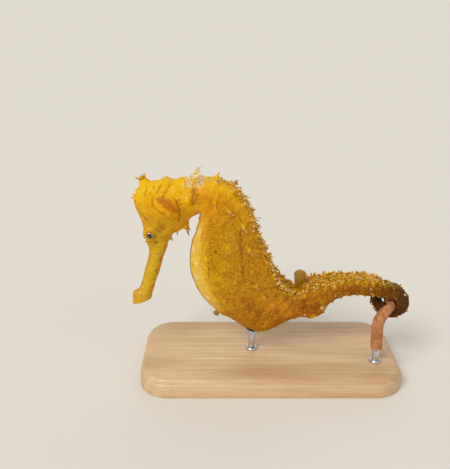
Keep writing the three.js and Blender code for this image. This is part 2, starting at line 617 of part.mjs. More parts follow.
const halfLength = BASE.length / 2;
const halfWidth = BASE.width / 2;
const footprint = new THREE.Shape();
footprint.moveTo(-halfLength + BASE.corner, -halfWidth);
footprint.absarc(halfLength - BASE.corner, -halfWidth + BASE.corner, BASE.corner, -Math.PI / 2, 0);
footprint.absarc(halfLength - BASE.corner, halfWidth - BASE.corner, BASE.corner, 0, Math.PI / 2);
footprint.absarc(-halfLength + BASE.corner, halfWidth - BASE.corner, BASE.corner, Math.PI / 2, Math.PI);
footprint.absarc(-halfLength + BASE.corner, -halfWidth + BASE.corner, BASE.corner, Math.PI, 1.5 * Math.PI);
const slab = new THREE.ExtrudeGeometry(footprint, {
  depth: BASE.thickness - 2 * BASE.edge,
  bevelSize: BASE.edge,
  bevelThickness: BASE.edge,
  bevelOffset: -BASE.edge,
  bevelSegments: 1,
  curveSegments: 6,
});
slab.translate(0, 0, BASE.edge);
const rodHoles = RODS.map(({ x, y }) => rodSolid(x, y, 2 * BASE.thickness, ROD.radius + ROD.play));
place('stand_base', cutFrom(solidOf(slab), rodHoles), PALE_WOOD);

export default group;
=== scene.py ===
import math

import bpy
import numpy as np
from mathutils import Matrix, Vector, noise


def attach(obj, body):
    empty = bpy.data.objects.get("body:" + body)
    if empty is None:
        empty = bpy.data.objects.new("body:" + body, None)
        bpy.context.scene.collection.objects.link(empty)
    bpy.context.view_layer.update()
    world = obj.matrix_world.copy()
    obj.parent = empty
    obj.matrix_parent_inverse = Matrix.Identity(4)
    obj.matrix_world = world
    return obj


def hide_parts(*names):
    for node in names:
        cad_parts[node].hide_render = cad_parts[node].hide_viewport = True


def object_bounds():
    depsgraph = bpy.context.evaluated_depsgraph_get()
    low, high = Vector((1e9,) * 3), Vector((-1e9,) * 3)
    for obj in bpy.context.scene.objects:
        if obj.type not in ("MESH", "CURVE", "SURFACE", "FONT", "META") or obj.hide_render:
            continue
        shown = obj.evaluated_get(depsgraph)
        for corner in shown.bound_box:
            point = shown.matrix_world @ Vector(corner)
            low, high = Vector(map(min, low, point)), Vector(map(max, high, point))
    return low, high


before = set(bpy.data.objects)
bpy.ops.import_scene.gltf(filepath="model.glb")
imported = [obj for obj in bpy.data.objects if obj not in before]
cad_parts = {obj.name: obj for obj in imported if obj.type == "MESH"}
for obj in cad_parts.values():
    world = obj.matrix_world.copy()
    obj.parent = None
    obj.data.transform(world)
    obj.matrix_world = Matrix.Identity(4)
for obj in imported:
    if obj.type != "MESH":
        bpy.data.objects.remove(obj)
cad_low, cad_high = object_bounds()

# ---------------------------------------------------------------- the body casting
# The animal is one casting of tinted resin from the mouth to the tip of the tail. Its form runs
# through landmarks that are counted in bony rings, as the live body's are: the head and snout run
# back from 0 to -7, the trunk has rings 1 to 11, and the tail's follow. Lengths are millimetres.
MM = 0.001

LANDMARKS = [
    # ring, back x and z, belly x and z, half width
    (-7.0, (-42.9, 22.5), (-36.8, 24.4), 2.1),  # mouth
    (-6.75, (-42.5, 26.0), (-36.5, 25.6), 2.2),  # upper lip
    (-6.5, (-41.3, 26.6), (-36.3, 26.4), 1.9),  # lip
    (-6.0, (-39.9, 28.8), (-35.6, 28.6), 1.8),  # snout end
    (-5.0, (-38.5, 33.7), (-33.9, 33.7), 1.9),  # snout middle
    (-4.0, (-37.0, 39.6), (-31.9, 40.0), 2.3),  # snout base
    (-3.0, (-38.0, 44.5), (-29.6, 45.3), 3.1),  # eye
    (-2.4, (-38.8, 49.2), (-25.9, 47.5), 3.9),  # brow
    (-1.6, (-40.9, 56.9), (-24.2, 50.3), 4.7),  # crown
    (-1.0, (-37.6, 60.9), (-23.0, 51.1), 4.8),  # coronet
    (0.0, (-30.8, 61.9), (-22.0, 51.6), 4.5),  # nape
    (1.3, (-20.7, 62.8), (-21.4, 51.2), 4.8),  # neck
    (2.8, (-12.2, 61.0), (-22.1, 47.7), 5.5),  # shoulder
    (4.5, (-6.6, 54.2), (-24.5, 40.6), 6.3),  # breast
    (6.5, (-2.9, 44.4), (-24.7, 32.3), 6.8),  # trunk
    (8.9, (2.2, 33.0), (-20.6, 23.3), 6.7),  # loin
    (10.6, (5.8, 28.0), (-13.9, 17.6), 6.4),  # last trunk ring
    (12.0, (8.4, 27.4), (-4.4, 12.4), 5.9),  # pouch
    (13.0, (11.0, 28.9), (7.1, 18.0), 5.3),  # tail base
    (14.5, (15.3, 30.4), (14.3, 18.4), 4.7),  # tail swell
    (16.0, (19.2, 30.8), (18.7, 23.5), 3.7),  # tail narrows
    (18.0, (24.1, 31.2), (24.2, 25.6), 3.0),  # tail
    (21.0, (31.3, 30.6), (31.4, 25.2), 2.8),  # far tail
    (23.5, (37.4, 28.6), (37.4, 23.9), 2.3),  # coil start
]
MARK_RING = np.array([mark[0] for mark in LANDMARKS])
BACK_LINE = np.array([mark[1] for mark in LANDMARKS])
BELLY_LINE = np.array([mark[2] for mark in LANDMARKS])
HALF_WIDTH = np.array([mark[3] for mark in LANDMARKS])

COIL_START, COIL_END, COIL_TURNS = 23.5, 46.0, 1.5
COIL_QUICKENING, COIL_THINNING, TAIL_TIP = 0.55, 0.85, 0.45
SIDE_STEP, SIDE_STEP_FROM, SIDE_STEP_TO = 4.8, 0.08, 0.5
CORAL_GRIP, CORAL_CLEAR = 1.25, 0.45

# Plates meet in ridges. A section's corners are angles from the back and how far each reaches.
UPPER_RIDGE, SIDE_RIDGE, LOWER_RIDGE = 33, 68, 122
TAIL_UPPER_RIDGE, TAIL_LOWER_RIDGE = 43, 138
TRUNK_CORNERS = [(0, 0.94), (UPPER_RIDGE, 1.1), (SIDE_RIDGE, 1.06), (LOWER_RIDGE, 0.94), (180, 1.0)]
TAIL_CORNERS = [(0, 0.94), (TAIL_UPPER_RIDGE, 1.28), (90, 0.95), (TAIL_LOWER_RIDGE, 1.24), (180, 0.94)]
TRUNK_STARTS, TRUNK_IS_FULL = -0.5, 1.8
TAIL_STARTS, TAIL_IS_FULL = 10.5, 13.5
CORNER_SOFTNESS = 9

ROWS, COLUMNS, ROWS_PER_MM = 1040, 264, 14
BELLY_ROW_SHARE = 0.6


def smooth(value, start, end):
    """0 below start, 1 above end, and an even rise between them."""
    share = np.clip((value - start) / (end - start), 0, 1)
    return share * share * (3 - 2 * share)


def along(ring, values):
    """A landmark quantity at any ring number, by cubic pieces through the landmarks."""
    last = len(MARK_RING) - 1
    here = np.arange(last + 1)
    before, after = np.maximum(here - 1, 0), np.minimum(here + 1, last)
    slope = (values[after] - values[before]) / (MARK_RING[after] - MARK_RING[before])
    low = np.clip(np.searchsorted(MARK_RING, ring, side="right") - 1, 0, last - 1)
    span = MARK_RING[low + 1] - MARK_RING[low]
    share = (ring - MARK_RING[low]) / span
    rise = share * share * (3 - 2 * share)
    leave = share * (1 - share) ** 2 * span * slope[low]
    arrive = share * share * (share - 1) * span * slope[low + 1]
    return values[low] * (1 - rise) + values[low + 1] * rise + leave + arrive


coil_half_depth = (BACK_LINE[-1, 1] - BELLY_LINE[-1, 1]) / 2
coil_eye = np.array([BACK_LINE[-1, 0], 0, BELLY_LINE[-1, 1] - CORAL_GRIP - CORAL_CLEAR])


def station(ring):
    """The body's centre, the arrow from there to its back, and its half width at each ring number."""
    ring = np.atleast_1d(np.asarray(ring, float))
    body = np.minimum(ring, COIL_START)
    back = np.stack([along(body, BACK_LINE[:, 0]), 0 * body, along(body, BACK_LINE[:, 1])], -1)
    belly = np.stack([along(body, BELLY_LINE[:, 0]), 0 * body, along(body, BELLY_LINE[:, 1])], -1)
    centre, to_back, half_width = (back + belly) / 2, (back - belly) / 2, along(body, HALF_WIDTH)

    share = np.clip((ring - COIL_START) / (COIL_END - COIL_START), 0, 1)
    turned = 2 * np.pi * COIL_TURNS * share * (1 + COIL_QUICKENING * (1 - share))
    thinned = share ** COIL_THINNING
    half_depth = coil_half_depth + (TAIL_TIP - coil_half_depth) * thinned
    outwards = np.stack([np.sin(turned), 0 * turned, np.cos(turned)], -1)
    coil_centre = coil_eye + outwards * (CORAL_GRIP + CORAL_CLEAR + half_depth)[:, None]
    coil_centre[:, 1] = SIDE_STEP * smooth(share, SIDE_STEP_FROM, SIDE_STEP_TO)
    coil_width = HALF_WIDTH[-1] + (TAIL_TIP - HALF_WIDTH[-1]) * thinned

    coiled = ring > COIL_START
    centre = np.where(coiled[:, None], coil_centre, centre)
    to_back = np.where(coiled[:, None], outwards * half_depth[:, None], to_back)
    return centre, to_back, np.where(coiled, coil_width, half_width)


def cornered(angle, corners):
    """How far a section with corners reaches at an angle, along the straight side between two."""
    around = np.abs((np.asarray(angle, float) + 540) % 360 - 180)
    at, reach = np.array(corners).T
    low = np.clip(np.searchsorted(at, around, side="left") - 1, 0, len(at) - 2)
    past = reach[low] * np.sin(np.radians(around - at[low]))
    ahead = reach[low + 1] * np.sin(np.radians(at[low + 1] - around))
    return reach[low] * reach[low + 1] * np.sin(np.radians(at[low + 1] - at[low])) / (past + ahead)


def softened(angle, corners):
    """The same reach with its corners rounded off, as flesh rounds the edges of bony plates."""
    turns = (-CORNER_SOFTNESS, 0, CORNER_SOFTNESS)
    return sum(cornered(angle + turn, corners) for turn in turns) / len(turns)


def bare_body(ring, angle):
    """Points of the body without its lumps: angle 0 is the back, 90 the right flank, -90 the left."""
    centre, to_back, half_width = station(ring)
    tail = smooth(ring, TAIL_STARTS, TAIL_IS_FULL)[:, None]
    trunk = smooth(ring, TRUNK_STARTS, TRUNK_IS_FULL)[:, None] * (1 - tail)
    reach = (1 + trunk * (softened(angle, TRUNK_CORNERS) - 1)
             + tail * (softened(angle, TAIL_CORNERS) - 1))
    up = reach * np.cos(np.radians(angle))
    out = reach * np.sin(np.radians(angle)) * half_width[:, None]
    points = centre[:, None, :] + to_back[:, None, :] * up[:, :, None]
    points[:, :, 1] += out
    return points


def unit(arrow):
    """The same arrow made one unit long."""
    return arrow / np.linalg.norm(arrow)


def bell(away, width):
    """1 at no distance, and falling smoothly to nothing at about twice the width."""
    return np.exp(-(away / width) ** 2)


def outward(points):
    """Unit arrows out of a grid of points."""
    lengthwise = np.gradient(points, axis=0)
    crosswise = np.roll(points, -1, axis=1) - np.roll(points, 1, axis=1)
    arrow = np.cross(lengthwise, crosswise)
    return arrow / np.maximum(np.linalg.norm(arrow, axis=2, keepdims=True), 1e-9)


# Rows are spread so that they are evenly spaced along the back.
fine_ring = np.linspace(MARK_RING[0], COIL_END, 8000)
fine_centre, fine_to_back, _ = station(fine_ring)
back_steps = np.linalg.norm(np.diff(fine_centre + fine_to_back, axis=0), axis=1)
belly_steps = np.linalg.norm(np.diff(fine_centre - fine_to_back, axis=0), axis=1)
travelled = np.concatenate([[0], np.cumsum(np.maximum(back_steps, BELLY_ROW_SHARE * belly_steps))])
row_ring = np.interp(np.linspace(0, travelled[-1], ROWS), travelled, fine_ring)
column_angle = np.linspace(0, 360, COLUMNS, endpoint=False)
column_angle = np.where(column_angle > 180, column_angle - 360, column_angle)
from_back = np.abs(column_angle)[None, :]
ring_grid = row_ring[:, None]
skin = bare_body(row_ring, column_angle[None, :])


def cell(ring, angle, margin=0):
    """The row and column number of a place, at least a few rows in from both ends."""
    row = min(max(int(np.searchsorted(row_ring, ring)), margin), ROWS - 1 - margin)
    return row, int(round(angle % 360 / 360 * COLUMNS)) % COLUMNS


def near(ring, angle, reach):
    """Row and column numbers of the skin near a place, and how far each point there is from it."""
    row, column = cell(ring, angle)
    spot = skin[row, column].copy()
    step = np.linalg.norm(skin[row, (column + 1) % COLUMNS] - spot)
    height = int(ROWS_PER_MM * reach) + 2
    rows = np.arange(max(row - height, 0), min(row + height + 1, ROWS))
    width = min(int(reach / step) + 2, COLUMNS // 3)
    columns = np.arange(column - width, column + width + 1) % COLUMNS
    window = np.ix_(rows, columns)
    return window, spot, np.linalg.norm(skin[window] - spot, axis=2)


def raise_skin(height, window=...):
    """Moves the skin, or one window of it, outwards by the height at each of its points."""
    skin[window] += outward(skin[window]) * height[:, :, None]


def stamp(mask, window, strength):
    """Marks a window of a mask, where the mark is stronger than what is there."""
    mask[window] = np.maximum(mask[window], strength)


def middle_arrow(window):
    """The way out of the body in the middle of a window."""
    patch = outward(skin[window])
    return patch[patch.shape[0] // 2, patch.shape[1] // 2]


def tailward(ring, angle):
    """A unit arrow along the skin towards the tail."""
    row, column = cell(ring, angle, 6)
    return unit(skin[row + 6, column] - skin[row, column])


def both_sides(angle):
    """The same angle from the back on the left flank and on the right."""
    return (-angle, angle)


def varied(number):
    """The same share from 0 to 1 for the same number every time, with no pattern between them."""
    value = math.sin(number * 12.9898) * 43758.5453
    return value - math.floor(value)


def ranged(limits, share):
    """The value that lies a share of the way between two limits."""
    return limits[0] + (limits[1] - limits[0]) * share


# Soft swellings of the head, the nape and the pouch: ring, angle, height and reach.
SWELLINGS = [
    (-1.35, 104, 1.4, 5.4),  # gill cover
    (-2.75, 112, 0.5, 2.6),  # cheek
    (-1.9, 60, 0.5, 2.8),  # temple
    (-0.15, 22, 0.8, 2.4),  # nape
    (0.36, 90, 0.9, 2.2),  # shoulder, over the root of the pectoral fin
    (0.42, 86, 0.8, 1.7),  # the shoulder's bright knob
    (-1.4, 17, 0.6, 1.2),  # crown knob
    (-0.65, 49, 0.25, 1.0),  # side of the crown, behind
    (-1.05, 47, 0.25, 0.9),  # side of the crown
    (0.1, 32, 0.45, 1.2),  # side of the nape, above
    (0.2, 50, 0.3, 1.1),  # side of the nape
    (1.05, 26, 0.8, 2.6),  # the pale cushion on the nape
    (0.55, 16, 0.45, 2.2),  # the cushion's front
    (0.05, 14, 0.45, 2.4),  # where the crown meets it
    (10.2, 168, 0.45, 4.5),  # front of the pouch
    (1.0, 33, 0.9, 1.1),  # the thick foot of the nape's spine
]
lifted = np.zeros((ROWS, COLUMNS))
for ring, angle, height, reach in SWELLINGS:
    for side in both_sides(angle):
        peak = bare_body(np.array([ring]), np.array([[side]]))[0, 0]
        away = np.linalg.norm(skin - peak, axis=2) / reach
        lifted += height * np.exp(-3 * away ** 2)
raise_skin(lifted)

# Each eye stands in a low turret, whose rounded form is joined to the head's.
EYE = np.array([-36.0, 2.6, 46.1])
TURRET_CENTRE_Y, TURRET_FILLET = 2.15, 0.14
TURRET = np.array([2.45, 1.8, 2.45])
TURRET_RINGS = (-4.3, -1.8)
MELT_PASSES, MELT_SHARE = 12, 0.6
LID_RADIUS, LID_HEIGHT, LID_WIDTH = 1.66, 0.2, 0.26
head_rows = np.flatnonzero((row_ring > TURRET_RINGS[0]) & (row_ring < TURRET_RINGS[1]))
row_centre = station(row_ring[head_rows])[0][:, None, :]
for side in (-1, 1):
    # Rays run from the body's centre line through the skin. Where one leaves the turret farther out
    # than the skin, its point moves there.
    rays = skin[head_rows] - row_centre
    start = (row_centre - np.array([EYE[0], side * TURRET_CENTRE_Y, EYE[2]])) / TURRET
    ray = rays / TURRET
    a, b, c = (ray ** 2).sum(2), (ray * start).sum(2), (start ** 2).sum(2) - 1
    hit = b * b - a * c
    leaves = np.where(hit > 0, (-b + np.sqrt(np.maximum(hit, 0))) / a, 0)
    mixed = np.clip(0.5 + 0.5 * (leaves - 1) / TURRET_FILLET, 0, 1)
    reach = 1 - mixed + mixed * leaves + TURRET_FILLET * mixed * (1 - mixed)
    skin[head_rows] = row_centre + rays * reach[:, :, None]
eye_away = np.hypot(skin[:, :, 0] - EYE[0], skin[:, :, 2] - EYE[2])
by_eye = (ring_grid < TURRET_RINGS[1]) * (np.abs(skin[:, :, 1]) > 1.2)
melted = (1 - smooth(eye_away, 3.0, 4.2)) * smooth(eye_away, 1.7, 2.3) * (ring_grid < TURRET_RINGS[1])
for _ in range(MELT_PASSES):
    around = np.roll(skin, 1, 0) + np.roll(skin, -1, 0) + np.roll(skin, 1, 1) + np.roll(skin, -1, 1)
    skin += MELT_SHARE * melted[:, :, None] * (around / 4 - skin)
lid = LID_HEIGHT * bell(eye_away - LID_RADIUS, LID_WIDTH) * by_eye
skin[:, :, 1] += np.sign(skin[:, :, 1]) * lid
eye_clear = 1 - (1 - smooth(eye_away, 1.7, 2.6)) * by_eye

# The rings and ridges: soft bands of plate edge round the body, which the flesh all but hides on
# the flanks, with slightly sunken plates between them.
RING_BAND, RING_SHARPNESS, FLANK_SHARE = 0.2, 0.19, 0.45
TAIL_BAND_SHARE = 0.05
RIDGE_HEIGHT, RIDGE_WIDTH = 0.22, 7.5
KEEL_HEIGHT, KEEL_WIDTH = 0.35, 5.0
PLATE_HOLLOW = 0.07
tail_share = smooth(ring_grid, TAIL_STARTS, TAIL_IS_FULL)
trunk_share = smooth(ring_grid, 0.4, 2.2) * (1 - tail_share)
row_half_width = station(row_ring)[2][:, None]
on_pouch = bell(ring_grid - 12.1, 1.5) * smooth(from_back, 95, 140)
on_flank = smooth(from_back, 40, 60)
band = bell(ring_grid - np.round(ring_grid), RING_SHARPNESS)
trunk_band = RING_BAND * (1 + on_flank * (FLANK_SHARE - 1)) * (1 - smooth(from_back, 130, 160))
band_height = trunk_share * trunk_band + tail_share * TAIL_BAND_SHARE * row_half_width


def along_ridges(angles):
    """1 along ridges at these angles from the back, and less to either side of them."""
    return sum(bell(from_back - ridge, RIDGE_WIDTH) for ridge in angles)


near_ridge = along_ridges((UPPER_RIDGE, SIDE_RIDGE, LOWER_RIDGE)) * trunk_share
near_ridge = near_ridge + along_ridges((TAIL_UPPER_RIDGE, TAIL_LOWER_RIDGE)) * tail_share
keel = bell(180 - from_back, KEEL_WIDTH) * trunk_share * (1 - smooth(ring_grid, 9.3, 10.4))
between = (trunk_share + tail_share) * (1 - band) * (1 - np.minimum(near_ridge, 1))
height = band * band_height + RIDGE_HEIGHT * near_ridge * (1 - 0.5 * tail_share) - PLATE_HOLLOW * between
raise_skin(height * (1 - on_pouch) + KEEL_HEIGHT * keel)

# Spines stand where rings cross ridges and on the head. Each has a foot drawn out of the skin and a
# thorn set on it, and leans towards the tail, the ones on the flank the most.
UPPER_SPINES = [2.5, 1.8, 2.1, 1.1, 1.3, 1.0, 1.3, 0.9, 1.1, 0.8, 0.9]
SIDE_SPINES = [  # ring, angle, height
    (1.0, 68, 0.6), (2.42, 79, 1.2), (3.68, 63, 1.1), (5.02, 51, 1.5), (6.5, 52, 1.2), (7.7, 62, 0.6),
    (8.7, 66, 0.9), (9.8, 67, 0.6), (10.8, 68, 0.7),
]
LOWER_SPINE, TAIL_SPINE, TAIL_LOW_SPINE, COIL_SPINE = 0.45, 0.7, 0.4, 0.12
SPINE_FOOT, SPINE_FOOT_SHARE, SPINE_CURVE, FOOT_HEIGHT_SHARE = 0.6, 0.42, 1.5, 0.68
UPPER_LEAN, SIDE_LEAN, TAIL_LEAN = 0.3, 0.85, 0.4
# Ring, angle, height, lean and how dark each one is.
spines = [(ring, angle, height, SIDE_LEAN, 0) for ring, angle, height in SIDE_SPINES]
for number, upper in enumerate(UPPER_SPINES, start=1):
    spines.append((number, UPPER_RIDGE, upper, UPPER_LEAN, 0))
    if 1 < number < 10:
        spines.append((number, LOWER_RIDGE, LOWER_SPINE, SIDE_LEAN, 0))
for number in range(12, int(COIL_END)):
    size = float(1 - smooth(number, 19, 26))
    for ridge, tallest in ((TAIL_UPPER_RIDGE, TAIL_SPINE), (TAIL_LOWER_RIDGE, TAIL_LOW_SPINE)):
        spines.append((number, ridge, COIL_SPINE + (tallest - COIL_SPINE) * size, TAIL_LEAN, 0))
spines += [
    (-1.62, 14, 1.0, 0.2, 0),  # brow
    (-0.1, 79, 0.6, 0.4, 0),  # behind the gill cover
    (-2.2, 38, 0.5, 0.2, 0),  # over the eye
    (-3.35, 4, 0.4, 0.2, 0),  # nose
    (-2.62, 144, 0.9, -0.6, 1),  # cheek
    (-3.25, 172, 0.9, -0.6, 1),  # chin
    (-2.2, 163, 2.2, -0.9, 1),  # throat, pointing down along the snout
]
# Low struts of bone run up to the biggest side spines: the ring and angle of each one's two ends.
STRUTS = [(2.32, 56, 2.42, 79), (3.25, 66, 3.68, 63), (4.5, 55, 5.02, 51), (6.1, 55, 6.5, 52),
          (-0.75, 24, -0.05, 33), (-0.6, 60, -0.15, 77), (-1.6, 52, -1.1, 46)]
STRUT_HEIGHT, STRUT_WIDTH = 0.34, 0.42


def lines_on_skin(lines, width, steps=9):
    """A mask of straight lines on both sides of the body, each stronger towards its last end."""
    mask = np.zeros((ROWS, COLUMNS))
    for first_ring, first_angle, last_ring, last_angle in lines:
        for side in (-1, 1):
            for share in np.linspace(0, 1, steps):
                angle = side * (first_angle + (last_angle - first_angle) * share)
                window, spot, away = near(first_ring + (last_ring - first_ring) * share, angle, 3 * width)
                rise = (0.6 + 0.4 * share) * bell(away, width)
                stamp(mask, window, rise)
    return mask


strut_mask = lines_on_skin(STRUTS, STRUT_WIDTH)
raise_skin(STRUT_HEIGHT * strut_mask)

# Creases of the head: the rim of the gill cover, the folds of the crown and the fold of the neck.
FOLDS = [(-0.24, 70, -0.37, 91), (-0.37, 91, -0.75, 110), (-0.75, 110, -1.4, 128), (-1.4, 128, -1.87, 130),
         (-0.2, 25, -0.45, 38), (-0.45, 38, -0.8, 54), (0.0, 38, -0.37, 56), (-0.37, 56, -0.7, 68),
         (0.9, 60, 0.85, 75), (0.85, 75, 0.62, 102), (-1.1, 60, -1.5, 72), (-1.5, 72, -1.62, 96),
         (-1.9, 30, -2.2, 50), (-1.0, 30, -1.3, 46)]
FOLD_DEPTH, FOLD_WIDTH = 0.28, 0.42
# The creases are painted with shade too: their mask darkens the skin's colour in them.
fold_and_shade_mask = lines_on_skin(FOLDS, FOLD_WIDTH)
raise_skin(-FOLD_DEPTH * fold_and_shade_mask)

tip_mask = np.zeros((ROWS, COLUMNS))
knob_mask = np.zeros((ROWS, COLUMNS))
thorns = []  # tip of the foot, the way up, the way to the tail, height, how dark
for ring, angle, height, lean, dark in spines:
    foot = SPINE_FOOT + SPINE_FOOT_SHARE * height
    for side in both_sides(angle):
        window, spot, away = near(ring, side, foot)
        back = tailward(ring, side)
        direction = middle_arrow(window) + lean * back
        share = np.clip(1 - away / foot, 0, 1) * (np.abs(row_ring[window[0]] - ring) < 1.5)
        skin[window] += (share ** SPINE_CURVE * height * FOOT_HEIGHT_SHARE)[:, :, None] * direction
        stamp(tip_mask, window, share ** 2.5 * min(height, 1) * (1 - dark))
        stamp(knob_mask, window, share)
        if height > 0.35:
            thorns.append((spot + height * FOOT_HEIGHT_SHARE * direction, direction, back, height, dark))

coil_dull = 1 - 0.75 * smooth(ring_grid, 20, 24)
knob_mask *= coil_dull
tip_mask *= coil_dull

# The coronet: a short stalk on the crown, whose rim carries a ring of points that lean apart.
CORONET_RING, STALK_HEIGHT, STALK_RADIUS, STALK_FOOT = -0.98, 1.9, 1.0, 2.3
window, spot, away = near(CORONET_RING, 0, STALK_FOOT)
coronet_out = middle_arrow(window)
coronet_fore = np.cross(coronet_out, (0, 1, 0))
stalk = 1 - smooth(away, 0.5 * STALK_RADIUS, STALK_FOOT)
skin[window] += (stalk * STALK_HEIGHT)[:, :, None] * coronet_out
stamp(knob_mask, window, 0.6 * stalk)
coronet_top = spot + STALK_HEIGHT * coronet_out

# Warts: small rounded grains of skin, strewn everywhere but round the eyes and biggest on the nape.
WARTS, NAPE_WARTS = 1500, 60
WART_SIZE, WART_HEIGHT = (0.24, 0.55), (0.03, 0.1)
NAPE_RING, NAPE_ROWS, NAPE_SPREAD, NAPE_WART_SCALE = 1.05, 22, 55, 2.2
wart_mask = np.zeros((ROWS, COLUMNS))
wart_places = []  # row, angle and scale
for number in range(WARTS):
    wart_places.append((varied(number) * (ROWS - 60) + 20, 360 * varied(number + 0.37), 1.0))
nape_row = float(np.searchsorted(row_ring, NAPE_RING))
for number in range(NAPE_WARTS):
    aside = NAPE_SPREAD * (2 * varied(number + 0.11) - 1)
    row = nape_row + NAPE_ROWS * (2 * varied(number + 0.19) - 1)
    wart_places.append((row, aside % 360, NAPE_WART_SCALE))
for number, (row, angle, scale) in enumerate(wart_places):
    size = ranged(WART_SIZE, varied(number + 0.71) ** 2)
    window, spot, away = near(row_ring[int(row)], angle, size)
    dome = np.clip(1 - (away / size) ** 2, 0, 1) ** 1.5 * eye_clear[window] * (1 - 0.6 * on_pouch[window])
    scale *= 1 - 0.6 * float(smooth(row_ring[int(row)], 20, 25))
    tall = scale * ranged(WART_HEIGHT, varied(number + 0.53))
    raise_skin(dome * tall, window)
    stamp(wart_mask, window, dome * min(scale, 1))

# The whole surface is slightly uneven, in lumps of two sizes, each with its height.
UNEVEN = [(2.6, 0.16), (0.9, 0.05)]
for size, height in UNEVEN:
    lumps = np.array([noise.noise(point) for point in (skin / size).reshape(-1, 3).tolist()])
    raise_skin(height * lumps.reshape(ROWS, COLUMNS) * eye_clear)

# The gill cover's fine creases fan out from the cheek towards its rim, and shorter ones ring the eye.
CREASE_FANS = [
    # ring, angle, creases in a turn, depth, nearest, farthest, first and last way, and whether it
    # rings the eye
    (-2.46, 61, 54, 0.15, 2.2, 8.8, -6, 48, False),
    (-3.0, 62, 19, 0.03, 1.5, 3.0, -181, 181, True),
]
gill_mask = np.zeros((ROWS, COLUMNS))
for ring, angle, creases, depth, nearest, farthest, first_way, last_way, rings_eye in CREASE_FANS:
    for side in both_sides(angle):
        window, spot, away = near(ring, side, farthest)
        if rings_eye:
            spot = EYE * np.array([1, np.sign(side), 1])
            away = np.hypot(skin[window][:, :, 0] - spot[0], skin[window][:, :, 2] - spot[2])
        offset = skin[window] - spot
        turned = np.arctan2(offset[:, :, 2], offset[:, :, 0])
        way = np.degrees(turned)
        fade = smooth(away, nearest, 1.3 * nearest) * (1 - smooth(away, 0.75 * farthest, farthest))
        fade = fade * smooth(way, first_way, first_way + 14) * (1 - smooth(way, last_way - 14, last_way))
        fade = fade * (offset[:, :, 1] * np.sign(side) > -1.6)
        crease = 0.5 + 0.5 * np.cos(creases * turned + np.sin(5 * turned) + 0.5 * np.sin(away))
        fade = fade * (0.65 + 0.35 * np.sin(0.3 * way + 1.7 * away))
        raise_skin(-depth * fade * crease, window)
        stamp(gill_mask, window, fade * (1 - crease))
        # The gill cover's creases are painted with shade through the same mask.
        stamp(fold_and_shade_mask, window, fade * crease ** 2 * (not rings_eye))

# The mouth is a small hollow in the end of the snout, with a rounded lip, and the tail's tip is round.
LIP_ROWS, LIP_ROLL, LIP_INSET, MOUTH_DEPTH, MOUTH_NARROWS = 16, 0.35, 0.26, 1.5, 0.3
LIP_SHARE = 0.4
TIP_ROWS = 6
mouth_centre = skin[0].mean(axis=0)
mouth_way = unit(mouth_centre - skin[8].mean(axis=0))
mouth_rows = []
for number in range(LIP_ROWS, 0, -1):
    rolled = min(number / LIP_ROWS / LIP_SHARE, 1)
    inner = max(number / LIP_ROWS - LIP_SHARE, 0) / (1 - LIP_SHARE)
    forward = LIP_ROLL * math.sin(math.pi * rolled) - MOUTH_DEPTH * inner
    width = 1 - LIP_INSET * rolled ** 2 - (1 - LIP_INSET - MOUTH_NARROWS) * inner ** 1.5
    mouth_rows.append(mouth_centre + (skin[0] - mouth_centre) * width + mouth_way * forward)
tail_centre = skin[-1].mean(axis=0)
tail_way = unit(tail_centre - skin[-6].mean(axis=0))
tip_rows = []
for number in range(1, TIP_ROWS + 1):
    turned = 0.5 * math.pi * number / (TIP_ROWS + 1)
    bulge = tail_centre + (skin[-1] - tail_centre) * math.cos(turned)
    tip_rows.append(bulge + tail_way * TAIL_TIP * math.sin(turned))
casting = np.concatenate([np.array(mouth_rows), skin, np.array(tip_rows)])
casting = np.clip(casting, np.array(cad_low) / MM, np.array(cad_high) / MM)


def tube_faces(rows, columns):
    """Faces through rows of points, each row a closed loop, with a fan to one more point at each end."""
    row, column = np.meshgrid(np.arange(rows - 1), np.arange(columns), indexing="ij")
    a, b = row * columns + column, row * columns + (column + 1) % columns
    sides = np.stack([a, a + columns, b + columns, b], -1).reshape(-1, 4)
    here, following = np.arange(columns), (np.arange(columns) + 1) % columns
    last, hub = (rows - 1) * columns, rows * columns
    first_fan = np.stack([here, following, np.full(columns, hub)], -1)
    last_fan = np.stack([last + following, last + here, np.full(columns, hub + 1)], -1)
    return sides, first_fan, last_fan


def with_hubs(rows):
    """All points of a tube, and the middle of its first and last rows."""
    return np.concatenate([rows.reshape(-1, 3), [rows[0].mean(axis=0), rows[-1].mean(axis=0)]])


def solid_mesh(name, points, faces, material):
    """A piece from points in millimetres and faces, given its material and put in the scene."""
    mesh = bpy.data.meshes.new(name)
    mesh.from_pydata((np.asarray(points, float) * MM).tolist(), [], faces)
    mesh.update()
    mesh.polygons.foreach_set("use_smooth", [True] * len(mesh.polygons))
    mesh.materials.append(material)
    piece = bpy.data.objects.new(name, mesh)
    bpy.context.scene.collection.objects.link(piece)
    return piece


def tube_piece(name, rows, material, flipped=False):
    """A closed piece through rows of points, its faces flipped where the rows turn the other way."""
    parts = tube_faces(len(rows), rows.shape[1])
    faces = [face for part in parts for face in (part[:, ::-1] if flipped else part).tolist()]
    return solid_mesh(name, with_hubs(rows), faces, material)


def keep_values(piece, **values):
    """Stores one number for each point of a piece under each name, for its material to read."""
    for name, value in values.items():
        layer = piece.data.attributes.new(name, "FLOAT", "POINT")
        layer.data.foreach_set("value", np.asarray(value, np.float32).ravel())


def paint(red, green, blue):
    """A paint colour, mixed on the screen's scale of 0 to 255."""
    return tuple((part / 255 / 12.92) if part < 11 else ((part / 255 + 0.055) / 1.055) ** 2.4
                 for part in (red, green, blue))


